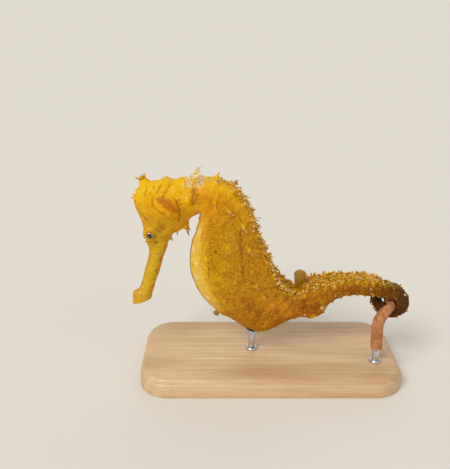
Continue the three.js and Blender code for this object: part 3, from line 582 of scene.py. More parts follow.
class Mix:
    """A material or effect in the making: adds nodes and joins them up."""

    def __init__(self, tree):
        """Starts on a node tree and finds its Principled shader, if it has one."""
        self.tree = tree
        self.shader = next((node for node in tree.nodes if node.type == "BSDF_PRINCIPLED"), None)

    def give(self, value, socket):
        """Joins another node's output to a socket, or sets the socket to a number or colour."""
        if isinstance(value, bpy.types.NodeSocket):
            self.tree.links.new(value, socket)
        elif isinstance(value, tuple) and len(value) == 3 and socket.type == "RGBA":
            socket.default_value = (*value, 1.0)
        else:
            socket.default_value = value

    def add(self, kind, inputs=(), **settings):
        """A new node with its settings and its inputs, by their names or numbers."""
        node = self.tree.nodes.new("ShaderNode" + kind)
        for key, value in settings.items():
            setattr(node, key, value)
        for key, value in dict(inputs).items():
            self.give(value, node.inputs[key])
        return node

    def wear(self, **values):
        """Gives the material's own shader its colour and other values, each by its socket's name."""
        for name, value in values.items():
            self.give(value, self.shader.inputs[name.replace("_", " ").title().replace("Ior", "IOR")])

    def value(self, name):
        """A number that the piece stores for each of its points."""
        return self.add("Attribute", attribute_name=name).outputs["Fac"]

    def math(self, operation, first, second):
        """One sum of two values. The three after it are short names for the commonest sums."""
        return self.add("Math", {0: first, 1: second}, operation=operation).outputs[0]

    def times(self, first, second):
        return self.math("MULTIPLY", first, second)

    def plus(self, first, second):
        return self.math("ADD", first, second)

    def minus(self, first, second):
        return self.math("SUBTRACT", first, second)

    def between(self, value, low, high, to_low=0.0, to_high=1.0):
        """A value's place between two others, eased, or the same share of the way between two results."""
        inputs = {"Value": value, "From Min": low, "From Max": high, "To Min": to_low, "To Max": to_high}
        return self.add("MapRange", inputs, interpolation_type="SMOOTHSTEP").outputs["Result"]

    def colour(self, share, first, second):
        """A share of the second colour over the first."""
        node = self.add("Mix", data_type="RGBA")
        for name, value, kind in (("Factor", share, "VALUE"), ("A", first, "RGBA"), ("B", second, "RGBA")):
            self.give(value, next(s for s in node.inputs if s.name == name and s.type == kind))
        return next(s for s in node.outputs if s.type == "RGBA")

    def ramp(self, share, stops):
        """Colours along a line: (place, colour) for each stop."""
        node = self.add("ValToRGB", {0: share})
        elements = node.color_ramp.elements
        while len(elements) < len(stops):
            elements.new(1.0)
        for element, (place, colour) in zip(elements, stops):
            element.position = place
            element.color = (*colour, 1.0)
        return node.outputs["Color"]

    def noise(self, where, scale, detail=3.0, roughness=0.55, distortion=0.0):
        """Cloudy noise around one half."""
        inputs = {"Vector": where, "Scale": scale, "Detail": detail, "Roughness": roughness,
                  "Distortion": distortion}
        return self.add("TexNoise", inputs).outputs[0]

    def place(self):
        """The place on the piece in metres, which patterns are drawn by."""
        return self.add("TexCoord").outputs["Object"]

    def stretched(self, where, *scales):
        """A place with its three axes scaled apart, for patterns that run one way."""
        return self.add("VectorMath", {0: where, 1: scales}, operation="MULTIPLY").outputs[0]

    def bump(self, height, depth_mm, under=None):
        """Fine relief from a height between 0 and 1, over other relief if there is any."""
        inputs = {"Height": height, "Distance": depth_mm * MM}
        if under is not None:
            inputs["Normal"] = under
        return self.add("Bump", inputs).outputs["Normal"]


def finish_of(name, **constants):
    """A new material and its mix, with the constants set on its one Principled shader."""
    material = bpy.data.materials.new(name)
    material.use_nodes = True
    mix = Mix(material.node_tree)
    mix.wear(**constants)
    return material, mix


def effect(name, inputs, outputs):
    """A new node group with named inputs, each a number, and named outputs."""
    tree = bpy.data.node_groups.new(name, "ShaderNodeTree")
    for label, start in inputs:
        socket = tree.interface.new_socket(label, in_out="INPUT", socket_type="NodeSocketFloat")
        socket.default_value = start
    for label in outputs:
        tree.interface.new_socket(label, in_out="OUTPUT", socket_type="NodeSocketFloat")
    given, gives = tree.nodes.new("NodeGroupInput"), tree.nodes.new("NodeGroupOutput")
    return tree, Mix(tree), given.outputs, gives.inputs


# Grainy skin: fine pebbles with joints between them, and slow mottling. Other soft parts use it too.
grain, mix, given, gives = effect(
    "grainy_skin", [("Size mm", 0.5), ("Unevenness", 0.5)], ["Height", "Joints", "Mottle"])
where = mix.place()
per_metre = mix.math("DIVIDE", 1 / MM, given["Size mm"])
warp = mix.times(mix.noise(where, 700.0, 2.0), 0.7 * MM)
pushed = mix.add("VectorMath", {0: where, 1: warp}, operation="ADD").outputs[0]
pebbles = mix.add("TexVoronoi", {"Vector": pushed, "Scale": per_metre}).outputs["Distance"]
fine = mix.times(mix.noise(where, mix.times(per_metre, 2.3), 4.0, 0.65), given["Unevenness"])
mix.give(mix.plus(mix.between(pebbles, 0.0, 0.75, 1.0, 0.0), fine), gives["Height"])
mix.give(mix.between(pebbles, 0.45, 0.8), gives["Joints"])
mix.give(mix.noise(where, mix.times(per_metre, 0.2), 5.0, 0.62, 0.5), gives["Mottle"])

# The painter's marks: places on the body as ring, angle, reach in millimetres and strength. They are
# on both sides, and each mark's edge is broken up when it is painted.
MARKS = {
    "gill_red": [
        (-2.4, 92, 1.2, 0.6), (-1.7, 118, 1.4, 0.4), (-1.6, 108, 2.0, 0.35),  # head
        (-1.5, 96, 2.0, 0.4), (-1.3, 122, 1.3, 0.5), (-1.05, 71, 1.2, 0.6),
        (-1.05, 104, 1.5, 0.9), (-1.0, 77, 1.6, 0.8), (-1.0, 96, 1.8, 1.0),
        (-1.0, 84, 2.8, 0.35), (-0.95, 86, 1.8, 1.0), (-0.95, 111, 1.4, 0.7),
        (-0.75, 122, 1.4, 0.4), (-0.5, 112, 1.6, 0.45), (-0.4, 98, 1.6, 0.45),
        (-0.3, 88, 1.3, 0.4),
        (0.95, 70, 1.3, 0.5), (1.0, 58, 1.1, 0.4),  # nape and neck
    ],
    # Brown marks: some are the animal's own brown, and some are painted shade along the snout's underside,
    # in the groove between the pouch and the tail, and under the tail.
    "brown": [
        (-6.45, 20, 0.5, 0.5), (-6.3, 60, 0.5, 0.4), (-5.9, 30, 0.6, 0.5),  # snout
        (-5.6, 132, 0.9, 0.35), (-5.0, 124, 0.9, 0.45), (-4.6, 28, 0.6, 0.4),
        (-4.4, 128, 1.0, 0.45),
        (-3.0, 95, 1.4, 0.3), (-2.6, 85, 1.4, 0.5), (-2.6, 40, 0.7, 0.9),  # head
        (-2.3, 88, 2.2, 0.5), (-1.7, 24, 0.8, 0.7), (-0.75, 36, 0.7, 0.5),
        (0.3, 42, 0.6, 0.5),
        (0.9, 62, 1.8, 0.4), (1.0, 100, 1.4, 0.3),  # nape and neck
        (5.3, 110, 0.7, 0.5), (5.5, 103, 0.9, 0.5), (5.9, 117, 0.8, 0.6),  # trunk
        (6.6, 122, 0.9, 0.5), (8.4, 68, 1.0, 0.5),
        (9.5, 93, 2.8, 0.5), (9.6, 37, 1.9, 0.7), (10.0, 91, 3.2, 0.6),  # pouch and loin
        (10.0, 64, 1.6, 0.4), (10.0, 48, 1.6, 0.4), (10.4, 79, 2.8, 0.4),
        (10.8, 90, 3.2, 0.45), (11.1, 48, 1.8, 0.5), (11.8, 76, 2.4, 0.35),
        (12.9, 70, 1.5, 0.6), (13.2, 96, 1.6, 0.5), (13.7, 100, 1.8, 0.4),  # tail
        (16.4, 84, 1.6, 0.4), (18.0, 110, 1.4, 0.4), (19.5, 96, 1.8, 0.4),
    ],
    "olive": [
        (-3.2, 83, 1.0, 0.75), (-2.85, 78, 1.1, 0.85), (-2.7, 90, 0.9, 0.4),  # head
        (-2.5, 72, 1.0, 0.7),
        (0.9, 12, 0.9, 0.6), (2.2, 20, 1.0, 0.6),  # nape and neck
        (4.2, 24, 1.2, 0.5),  # trunk
        (22.6, 50, 1.2, 0.7), (24.5, 40, 1.5, 0.2), (27.5, 60, 1.6, 0.2),  # tail
    ],
    "dot": [
        (-3.4, 75, 0.3, 0.9),  # snout
        (-2.45, 52, 0.3, 0.6), (-1.65, 24, 0.35, 0.7),  # head
        (1.45, 36, 0.26, 0.7),  # nape and neck
        (5.4, 102, 0.5, 0.8), (5.9, 112, 0.4, 0.8), (6.35, 120, 0.4, 0.8),  # trunk
        (6.35, 72, 0.38, 0.9), (6.9, 121, 0.36, 0.7), (7.5, 74, 0.4, 0.9),
        (7.85, 179, 0.7, 1.0), (8.85, 82, 0.4, 0.9), (9.3, 112, 0.35, 0.6),
        (10.3, 62, 0.4, 0.7),  # pouch and loin
    ],
    "orange": [
        (-1.9, 98, 1.8, 0.4),  # head
        (1.3, 92, 1.8, 0.6), (1.9, 76, 2.2, 0.6),  # nape and neck
        (8.6, 58, 2.2, 0.5),  # trunk
        (9.5, 96, 2.8, 0.9), (10.0, 80, 3.0, 0.9), (10.7, 70, 3.0, 0.9),  # pouch and loin
        (11.4, 58, 2.4, 0.8), (12.2, 78, 2.6, 0.9),
    ],
    "white": [
        # The first three are painted highlights on the lip.
        (-6.62, 22, 0.32, 1.0), (-6.5, 55, 0.34, 1.0), (-6.15, 48, 0.28, 0.9),  # snout
        (-4.85, 14, 0.35, 0.8),
        (-1.55, 8, 0.35, 0.9), (-1.5, 30, 0.25, 0.7), (-1.4, 17, 0.7, 0.9),  # head
        (-1.3, 24, 0.3, 0.8), (-0.08, 78, 0.35, 0.8), (0.1, 44, 0.3, 0.6),
        # This one is a painted highlight on the top edge of the shoulder's bright knob.
        (0.48, 78, 0.6, 0.6),
        (0.75, 10, 1.4, 0.6), (0.8, 40, 1.4, 0.9), (1.0, 20, 1.7, 1.0),  # nape and neck
        (1.15, 48, 1.0, 0.6), (1.25, 34, 1.6, 1.0), (2.44, 80, 0.4, 0.9),
        (3.4, 160, 1.6, 0.7), (3.7, 64, 0.4, 0.9), (4.6, 168, 1.4, 0.6),  # trunk
        (5.04, 52, 0.45, 0.9), (5.8, 156, 1.3, 0.6), (6.52, 53, 0.4, 0.9),
        (6.9, 165, 1.3, 0.8), (8.65, 163, 1.5, 0.7),
        (12.2, 33, 0.6, 0.9),  # pouch and loin
        (13.5, 128, 0.5, 0.8), (14.8, 116, 0.6, 0.9), (16.0, 56, 0.7, 0.6),  # tail
        (16.3, 117, 0.5, 0.6), (20.7, 87, 0.5, 0.6), (21.0, 128, 0.5, 0.6),
    ],
    "yellow": [
        (-1.4, 17, 1.2, 0.8), (-1.2, 30, 1.8, 0.5), (-0.3, 20, 2.2, 0.6),  # head
        (0.42, 86, 1.3, 1.0),
        (1.9, 20, 2.0, 0.5), (2.5, 45, 1.6, 0.5),  # nape and neck
        (4.3, 150, 1.2, 0.5), (4.6, 119, 1.5, 0.55), (5.6, 121, 1.8, 0.6),  # trunk
        (5.6, 84, 2.6, 0.5), (6.2, 160, 1.2, 0.6), (6.4, 128, 2.2, 0.7),
        (6.6, 95, 3.0, 0.55), (7.2, 138, 2.2, 0.75), (7.2, 110, 3.0, 0.5),
        (7.4, 164, 1.4, 0.7), (8.0, 104, 3.0, 0.5), (8.1, 146, 2.0, 0.7),
        (8.9, 142, 2.0, 0.6),
        (9.6, 126, 2.6, 0.5), (10.6, 130, 2.0, 0.4),  # pouch and loin
        (13.3, 140, 1.4, 0.5), (14.2, 136, 1.5, 0.7), (15.2, 128, 1.6, 0.7),  # tail
        (16.2, 74, 1.4, 0.4),
    ],
    "pink": [
        (-2.1, 50, 0.6, 0.5), (-1.75, 12, 0.7, 0.6),  # head
        # The nape's and neck's first three pink marks are painted reddish shade beside the shoulder's bright
        # knob.
        (0.72, 64, 0.7, 0.6), (0.84, 75, 0.8, 0.9), (1.03, 59, 0.7, 0.7),  # nape and neck
        (2.5, 84, 0.5, 0.8),
        (3.85, 66, 0.5, 0.8), (5.2, 54, 0.5, 0.8), (6.65, 55, 0.5, 0.8),  # trunk
        (7.3, 44, 1.2, 0.4),
        (12.7, 50, 1.0, 0.5), (15.0, 52, 1.0, 0.4), (17.4, 70, 0.9, 0.5),  # tail
    ],
}
MARKS["yellow"] += [(ring, 55, 1.6, 0.5) for ring in range(13, 22)]
TAIL_BEADS = 46
for number in range(TAIL_BEADS):
    ring, angle = 12.6 + 10.5 * varied(number + 0.23), 50 * varied(number + 0.41)
    MARKS["white"].append((ring, angle, 0.22 + 0.25 * varied(number + 0.83), 0.75))

# Pale saddles cross the snout: ring, middle angle, half the angle across and how far the ends droop.
SNOUT_SADDLES = [(-3.45, 112, 34, 0.05), (-4.15, 98, 46, 0.12), (-4.85, 82, 44, 0.1), (-5.65, 40, 30, 0.06)]
SADDLE_WIDTH = 0.043
saddles = np.zeros((ROWS, COLUMNS))
for ring, middle, half, dip in SNOUT_SADDLES:
    share = np.abs(from_back - middle) / half
    line = bell(ring_grid - ring - dip * share ** 2, SADDLE_WIDTH)
    saddles = np.maximum(saddles, line * (1 - smooth(share, 0.6, 1.0)))


def painted(marks):
    """A mask from a list of marks, on both sides of the body."""
    mask = np.zeros((ROWS, COLUMNS))
    for ring, angle, reach, strength in marks:
        for side in both_sides(angle):
            window, spot, away = near(ring, side, 1.6 * reach)
            stamp(mask, window, strength * np.exp(-1.5 * (away / reach) ** 2))
    return mask


def ringed(starts, full, fades, ends):
    """A mask of the rings between two places, eased in and out."""
    return smooth(ring_grid, starts, full) * (1 - smooth(ring_grid, fades, ends))


def flank_line(route, width, *rings):
    """A mask of a line down the flank, through the angles that its route gives at some rings."""
    return bell(from_back - np.interp(ring_grid, *route), width) * ringed(*rings)


# Two dark lines run down the flank, and the keel is pale, with a dark line along its edge.
RIDGE_LINE = ([4.5, 5.4, 6.2, 6.9, 7.8], [51.5, 58.6, 64, 68, 75])
LOWER_LINE = ([5.0, 5.5, 5.9, 6.4, 7.4], [99, 104, 112, 120, 125])
LOWER_LINE_STRENGTH = 0.5
ridge_line = flank_line(RIDGE_LINE, 2.4, 4.2, 4.8, 7.7, 8.5)
lower_line = flank_line(LOWER_LINE, 1.6, 4.9, 5.6, 7.0, 7.6)
keel_pale = smooth(from_back, 128, 158) * ringed(1.6, 3.4, 8.9, 10.6)
keel_line = smooth(from_back, 175.5, 178) * ringed(2.2, 3.0, 9.2, 10.0)

# The painted colours run from a bright yellow head through an amber trunk to a dark brown tail, in
# one set of paints down the back, one along the flanks and one under the belly.
# The tail's belly paints are darker than its back's, and the coil's are darkest, partly as painted shade
# from the light above.
BACK_PAINTS = [
    (-7, (206, 158, 44)), (-4, (200, 150, 14)), (-2.4, (214, 152, 4)), (-1.4, (240, 190, 2)),
    (1.4, (242, 188, 2)), (3.4, (230, 168, 4)), (5.0, (202, 142, 10)), (9.5, (180, 122, 6)),
    (12.5, (168, 112, 6)), (16, (184, 126, 6)), (21, (164, 106, 6)), (24.5, (80, 46, 5)), (46, (70, 42, 6)),
]
FLANK_PAINTS = [
    (-7, (216, 170, 44)), (-4.4, (214, 176, 20)), (-2.6, (204, 156, 8)), (-1.5, (232, 168, 4)),
    (0, (244, 184, 4)), (1.2, (230, 164, 2)), (2.6, (214, 140, 2)), (4.4, (194, 136, 3)),
    (8.5, (186, 128, 3)), (11.4, (172, 104, 2)), (14, (168, 94, 2)), (18, (154, 84, 2)), (22, (116, 60, 3)),
    (24.5, (70, 38, 4)), (46, (62, 36, 5)),
]
BELLY_PAINTS = [
    (-7, (212, 166, 52)), (-3.2, (208, 152, 22)), (0.5, (228, 164, 10)), (2.4, (236, 184, 26)),
    (5.5, (244, 196, 36)), (8.4, (236, 186, 20)), (10.4, (192, 128, 4)), (12.6, (172, 104, 2)),
    (15, (146, 78, 3)), (19, (120, 64, 3)), (24, (96, 54, 6)), (46, (72, 40, 8)),
]
# The brown paint serves the animal's own brown, the dark joints and painted shade.
GILL_PAINT, BROWN_AND_SHADE_PAINT, OLIVE_PAINT = paint(170, 72, 2), paint(112, 58, 4), paint(122, 108, 4)
ORANGE_PAINT, WHITE_PAINT, TIP_PAINT = paint(192, 98, 2), paint(246, 222, 166), paint(238, 196, 176)
KNOB_PAINT, MOTTLE_PAINT, LIGHT_PAINT = paint(244, 194, 8), paint(170, 92, 2), paint(240, 192, 30)
SADDLE_PAINT, DOT_PAINT, YELLOW_PAINT = paint(228, 190, 84), paint(96, 40, 10), paint(240, 194, 6)
CREAM_PAINT, PINK_PAINT = paint(246, 212, 104), paint(216, 126, 84)
first, last = float(MARK_RING[0]), COIL_END

material, mix = finish_of(
    "painted_skin", specular_ior_level=0.14, coat_weight=0.03, coat_roughness=0.3,
    subsurface_weight=0.12, subsurface_radius=(1.0, 0.45, 0.15), subsurface_scale=1.0 * MM)
ring_value, around = mix.value("ring"), mix.value("around")
ring_place = mix.math("DIVIDE", mix.minus(ring_value, first), last - first)


def paints(stops):
    """Paints that run into each other along the body, from stops of ring and colour."""
    places = [(ring - first) / (last - first) for ring, _ in stops]
    return mix.ramp(ring_place, list(zip(places, [paint(*colour) for _, colour in stops])))


where = mix.place()
skin_grain = mix.add("Group", {"Size mm": 0.36, "Unevenness": 0.7}, node_tree=grain).outputs
patchy = mix.noise(where, 380.0, 4.0, 0.6, 0.6)
broken = mix.noise(where, 1500.0, 4.0, 0.7)
wandering = mix.plus(around, mix.times(mix.minus(patchy, 0.5), 0.16))
ground = mix.colour(mix.between(wandering, 0.2, 0.36), paints(BACK_PAINTS), paints(FLANK_PAINTS))
ground = mix.colour(mix.between(wandering, 0.6, 0.82), ground, paints(BELLY_PAINTS))
ground = mix.colour(mix.between(skin_grain["Mottle"], 0.5, 0.76, 0.0, 0.5), ground, MOTTLE_PAINT)
before_coil = mix.between(ring_value, 21.0, 24.0, 0.3, 0.05)
for by, lightest in ((patchy, 0.3), (broken, 0.38)):
    ground = mix.colour(mix.times(mix.between(by, 0.5, lightest), before_coil), ground, LIGHT_PAINT)
behind_neck = mix.between(ring_value, 1.5, 4.5, 0.08, 0.38)
ground = mix.colour(mix.times(mix.between(broken, 0.5, 0.64), behind_neck), ground, BROWN_AND_SHADE_PAINT)
speckled = mix.noise(where, 3600.0, 3.0, 0.6)


def mark(under, name, colour, strength, raggedness, by):
    """Paints one of the piece's stored masks, with its edge broken up by one of the noises."""
    ragged = mix.times(mix.minus(by, 0.5), raggedness)
    stored = mix.value(name)
    share = mix.between(mix.plus(stored, mix.times(ragged, stored)), 0.12, 0.8, 0.0, strength)
    return mix.colour(share, under, colour)


# The coats go on one over the other. Each is painted through one of the masks stored below.
COATS = [
    # mask, paint, strength, raggedness and the noise that breaks its edge
    ("orange", ORANGE_PAINT, 0.7, 3.0, speckled),
    ("orange", LIGHT_PAINT, 0.3, 7.0, speckled),
    ("olive", OLIVE_PAINT, 0.4, 3.0, patchy),
    ("olive", OLIVE_PAINT, 0.45, 3.0, broken),
    ("yellow", YELLOW_PAINT, 0.62, 3.6, patchy),
    # The brown marks: the animal's own brown, and painted shade.
    ("brown", BROWN_AND_SHADE_PAINT, 0.4, 4.0, patchy),
    ("brown", BROWN_AND_SHADE_PAINT, 0.4, 3.0, broken),
    ("gill_red", GILL_PAINT, 0.5, 2.4, patchy),
    ("gill_red", GILL_PAINT, 0.5, 7.0, speckled),
    # Painted shade in the creases of the head and the gill cover.
    ("fold", BROWN_AND_SHADE_PAINT, 0.36, 2.0, broken),
    ("saddle", SADDLE_PAINT, 0.85, 1.2, broken),
    ("pink", PINK_PAINT, 0.6, 2.4, broken),
    ("line", DOT_PAINT, 0.36, 3.0, broken),
    ("keel", CREAM_PAINT, 0.5, 5.0, patchy),
    ("knob", KNOB_PAINT, 0.5, 0.8, broken),
    ("strut", YELLOW_PAINT, 0.5, 1.8, broken),
    ("white", WHITE_PAINT, 0.9, 2.2, broken),
    ("gill", LIGHT_PAINT, 0.75, 0.6, broken),
    ("wart", LIGHT_PAINT, 0.16, 0.8, broken),
    ("tip", TIP_PAINT, 1.0, 0.5, broken),
    ("dot", DOT_PAINT, 0.9, 0.9, broken),
    ("mouth", DOT_PAINT, 0.9, 0.3, broken),
]
for coat in COATS:
    ground = mark(ground, *coat)
mix.wear(base_color=mix.colour(mix.times(skin_grain["Joints"], 0.16), ground, BROWN_AND_SHADE_PAINT))
creases = mix.add("CombineXYZ", {"X": mix.times(ring_value, 9.0), "Y": mix.times(around, 9.0)})
wrinkled = mix.noise(creases.outputs[0], 1.0, 4.0, 0.6, 0.4)
folds = mix.bump(mix.times(wrinkled, mix.value("creased")), 0.13)
mix.wear(normal=mix.bump(skin_grain["Height"], 0.035, folds))
mix.wear(roughness=mix.between(broken, 0.3, 0.7, 0.38, 0.58))

body = tube_piece("seahorse_skin", casting, material)
ring_rows = np.concatenate([np.full(LIP_ROWS, first), row_ring, np.full(TIP_ROWS, last)])
inside_mouth = np.linspace(1, 0, LIP_ROWS)[:, None] * np.ones((1, COLUMNS))
no_lip, no_tip = np.zeros((LIP_ROWS, COLUMNS)), np.zeros((TIP_ROWS, COLUMNS))
on_rings = {name: painted(marks) for name, marks in MARKS.items()}
on_rings["dot"] = np.maximum(on_rings["dot"], keel_line)
on_rings.update(tip=tip_mask, knob=knob_mask, wart=wart_mask, gill=gill_mask, saddle=saddles, keel=keel_pale,
                strut=strut_mask, fold=fold_and_shade_mask, creased=smooth(ring_grid, 0.2, 1.5) * (1 - 0.8 * on_pouch),
                line=np.maximum(ridge_line, LOWER_LINE_STRENGTH * lower_line))
masks = {name: np.concatenate([no_lip, mask, no_tip]) for name, mask in on_rings.items()}
masks["ring"] = np.repeat(ring_rows[:, None], COLUMNS, axis=1)
masks["around"] = np.repeat(from_back / 180, len(casting), axis=0)
masks["mouth"] = np.concatenate([inside_mouth, np.zeros((len(casting) - LIP_ROWS, COLUMNS))])
for name, mask in masks.items():
    keep_values(body, **{name: np.append(mask.ravel(), mask.ravel()[[0, -1]])})

# The unwrap lays the body out in lengthwise strips, side by side.
STRIPS, STRIP_MARGIN = 3, 0.01
lengthwise = np.linspace(0, STRIPS, len(casting))
face_row, face_column = np.divmod(np.arange((len(casting) - 1) * COLUMNS), COLUMNS)
row_of_corner = face_row[:, None] + np.array([0, 1, 1, 0])
strip = np.minimum(np.floor(lengthwise[face_row] + 1e-6), STRIPS - 1)[:, None]
corner_share = (face_column[:, None] + np.array([0, 0, 1, 1])) / COLUMNS
inset = 1 - 2 * STRIP_MARGIN
unwrap_u = (strip + STRIP_MARGIN + inset * corner_share) / STRIPS
unwrap_v = np.clip(lengthwise[row_of_corner] - strip, 0, 1) * inset + STRIP_MARGIN
fan_uv = np.zeros((2 * COLUMNS, 3, 2))
fan_uv[:, :, 0] = np.tile(corner_share[:COLUMNS, [0, 2, 1]], (2, 1)) / STRIPS
fan_uv[:, :, 1] = (STRIP_MARGIN / 2, STRIP_MARGIN / 2, 0)
unwrap = body.data.uv_layers.new(name="OFBake")
corners = np.concatenate([np.stack([unwrap_u, unwrap_v], -1).reshape(-1, 2), fan_uv.reshape(-1, 2)])
unwrap.data.foreach_set("uv", corners.astype(np.float32).ravel())
FLESH = ["snout", "head", "coronet", "neck", "trunk_upper", "trunk_lower", "pouch",
         "tail_1", "tail_2", "tail_3", "tail_4", "tail_5", "tail_6"]
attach(body, "root")
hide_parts(*FLESH)

# ---------------------------------------------------------------- eyes
# Each eye is a glass eye set in its turret behind the lids: a ball painted behind with a black pupil,
# a thin gold ring and a streaked brown iris, and polished in front where the clear cornea bulges.
BALL_RADIUS, CORNEA_BULGE, CORNEA_ANGLE = 1.6, 0.12, 52
PUPIL_RADIUS, IRIS_RADIUS = 0.82, 1.32
EYE_FORWARD, EYE_DOWN = 0.12, 0.06
EYE_ROWS, EYE_SPOKES, IRIS_STREAKS = 48, 64, 40
material, mix = finish_of("glass_eye", roughness=0.08, coat_weight=1.0, coat_roughness=0.02)
off_axis = mix.value("off_axis")
streak = mix.value("streak")
where = mix.place()
flecks = mix.between(mix.noise(where, 2600.0, 4.0, 0.7), 0.35, 0.65)
iris = mix.colour(flecks, paint(150, 92, 18), paint(92, 50, 12))
iris = mix.colour(mix.times(streak, 0.35), iris, paint(206, 150, 40))
iris = mix.colour(mix.between(off_axis, PUPIL_RADIUS + 0.16, PUPIL_RADIUS + 0.06), iris, paint(240, 196, 84))
iris = mix.colour(mix.between(off_axis, PUPIL_RADIUS + 0.04, PUPIL_RADIUS), iris, paint(12, 10, 12))
iris = mix.colour(mix.between(off_axis, IRIS_RADIUS - 0.1, IRIS_RADIUS + 0.05), iris, paint(60, 34, 12))
mix.wear(base_color=iris)
mix.wear(roughness=mix.between(mix.noise(where, 900.0), 0.3, 0.7, 0.05, 0.1))
polar = np.linspace(0.02, math.pi - 0.02, EYE_ROWS)[:, None]
spoke = np.linspace(0, 2 * math.pi, EYE_SPOKES, endpoint=False)[None, :]
bulge = CORNEA_BULGE * np.clip(1 - (np.degrees(polar) / CORNEA_ANGLE) ** 2, 0, 1)
ball_reach = (BALL_RADIUS + bulge) * np.ones_like(spoke)
for name, side in (("eye_glass_left", -1), ("eye_glass_right", 1)):
    ahead = unit(np.array([-EYE_FORWARD, side, -EYE_DOWN]))
    rise = unit(np.cross(ahead, (1, 0, 0)))
    across = np.cross(rise, ahead)
    rows = (ahead * (np.cos(polar) * ball_reach)[:, :, None]
            + rise * (np.sin(polar) * np.cos(spoke) * ball_reach)[:, :, None]
            + across * (np.sin(polar) * np.sin(spoke) * ball_reach)[:, :, None])
    rows += EYE * np.array([1, side, 1])
    eye = tube_piece(name, rows, material)
    off = (np.sin(polar) * ball_reach * (np.cos(polar) > -0.2) + 3 * (np.cos(polar) <= -0.2)).ravel()
    rays = (0.5 + 0.5 * np.cos(IRIS_STREAKS * spoke + 2 * np.sin(7 * spoke))) * np.ones_like(polar)
    keep_values(eye, off_axis=np.append(off, [0, 3]), streak=np.append(rays.ravel(), [0, 0]))
    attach(eye, "root")
    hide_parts("eye_left" if side < 0 else "eye_right")

# ---------------------------------------------------------------- skin threads
# Soft branches of skin stand on the ridges, like weed: cast in flexible resin one by one, hooked
# over towards the tail, and let into the skin beside the spines. Many end in a pale bead.
THREAD_SIDES, THREAD_STEPS, TUFT_BRANCHES = 8, 14, 4
THREAD_PAINTS = [(0.0, paint(190, 122, 4)), (0.45, paint(224, 164, 6)), (1.0, paint(240, 190, 30))]
thread_material, mix = finish_of(
    "thread_skin", specular_ior_level=0.3, coat_weight=0.08, coat_roughness=0.3,
    subsurface_weight=0.2, subsurface_radius=(1.0, 0.5, 0.2), subsurface_scale=0.6 * MM)
thread_grain = mix.add("Group", {"Size mm": 0.22, "Unevenness": 0.8}, node_tree=grain).outputs
golden = mix.ramp(mix.value("share"), THREAD_PAINTS)
olive = mix.colour(mix.between(mix.value("tone"), 0.55, 0.95, 0.0, 0.6), golden, paint(130, 96, 8))
mottled = mix.colour(mix.between(thread_grain["Mottle"], 0.5, 0.7, 0.0, 0.5), olive, paint(120, 70, 12))
dark = mix.colour(mix.between(mix.value("darkness"), 0.2, 1.0), mottled, paint(104, 46, 10))
pale = mix.colour(mix.between(mix.value("paleness"), 0.2, 0.8), dark, paint(250, 230, 190))
mix.wear(base_color=pale)
mix.wear(roughness=mix.between(thread_grain["Mottle"], 0.3, 0.7, 0.35, 0.55))
mix.wear(normal=mix.bump(thread_grain["Height"], 0.04))


def on_skin(ring, angle):
    """A place on the finished skin, the way out of it and the way to the tail."""
    row, column = cell(ring, angle, 8)
    rows = np.arange(row - 6, row + 7)
    columns = np.arange(column - 6, column + 7) % COLUMNS
    patch = skin[np.ix_(rows, columns)]
    out = outward(patch)[1:-1, 1:-1].mean(axis=(0, 1))
    return skin[row, column].copy(), unit(out), unit(patch[-1].mean(axis=0) - patch[0].mean(axis=0))


def hoop(centre, thick, first_axis, second_axis, sides):
    """A ring of points round a place, in the plane of two arrows."""
    turned = np.linspace(0, 2 * math.pi, sides, endpoint=False)[:, None]
    return centre + thick * (first_axis * np.cos(turned) + second_axis * np.sin(turned))


def grow(root, out, back, length, radius, bend, seed, pale=0.0, beaded=0.0, thinning=0.55, dark=0.0,
         sunk=0.35):
    """One thread: rows of points, and each point's share of the length, paleness and darkness."""
    out = unit(out)
    back = unit(back - out * back.dot(out))
    side = np.cross(out, back)
    turn = 1.1 * (varied(seed + 0.3) - 0.5) * min(bend, 1)
    start = 0.25 * (varied(seed + 0.6) - 0.3) * min(bend, 1)
    centre = root - sunk * out
    rows, shares = [], []
    for step in range(THREAD_STEPS + 1):
        share = step / THREAD_STEPS
        lean = start + bend * share ** 1.4
        way = unit(out * math.cos(lean) + back * math.sin(lean) + side * turn * math.sin(3 * share))
        if step:
            centre = centre + way * (length + sunk) / THREAD_STEPS
        first_axis = unit(np.cross(way, side))
        second_axis = np.cross(way, first_axis)
        knots = 1 + 0.18 * min(bend, 1) * math.sin(9 * share + 6 * varied(seed))
        bead = beaded * math.exp(-((share - 0.9) / 0.09) ** 2)
        end = math.sqrt(max(1 - max(share - 0.88, 0) ** 2 / 0.0155, 0.02))
        thick = radius * ((1 - thinning * share) * knots + 0.75 * bead) * end
        rows.append(hoop(centre, thick, first_axis, second_axis, THREAD_SIDES))
        shares.append(share)
    shares = np.repeat(shares, THREAD_SIDES)
    pale_part = pale if pale > 1.5 else pale * smooth(shares, 0.55, 0.85)
    return np.array(rows), shares, pale_part + 0 * shares, dark * smooth(shares, 0.1, 0.5)


def thread_piece(name, threads):
    """One joined piece from threads, each given as the arguments of grow."""
    points, faces, values = [], [], []
    first_point = 0
    for number, thread in enumerate(threads):
        rows, *stored = grow(**thread)
        points.append(with_hubs(rows))
        for part in tube_faces(len(rows), THREAD_SIDES):
            faces += (part + first_point).tolist()
        first_point += len(points[-1])
        stored.append(np.full(len(stored[0]), varied(number + 0.77)))
        values.append([np.append(value, value[[0, -1]]) for value in stored])
    held_in = np.clip(np.concatenate(points), np.array(cad_low) / MM, np.array(cad_high) / MM)
    piece = solid_mesh(name, held_in, faces, thread_material)
    for number, value in enumerate(("share", "paleness", "darkness", "tone")):
        keep_values(piece, **{value: np.concatenate([thread[number] for thread in values])})
    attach(piece, "root")


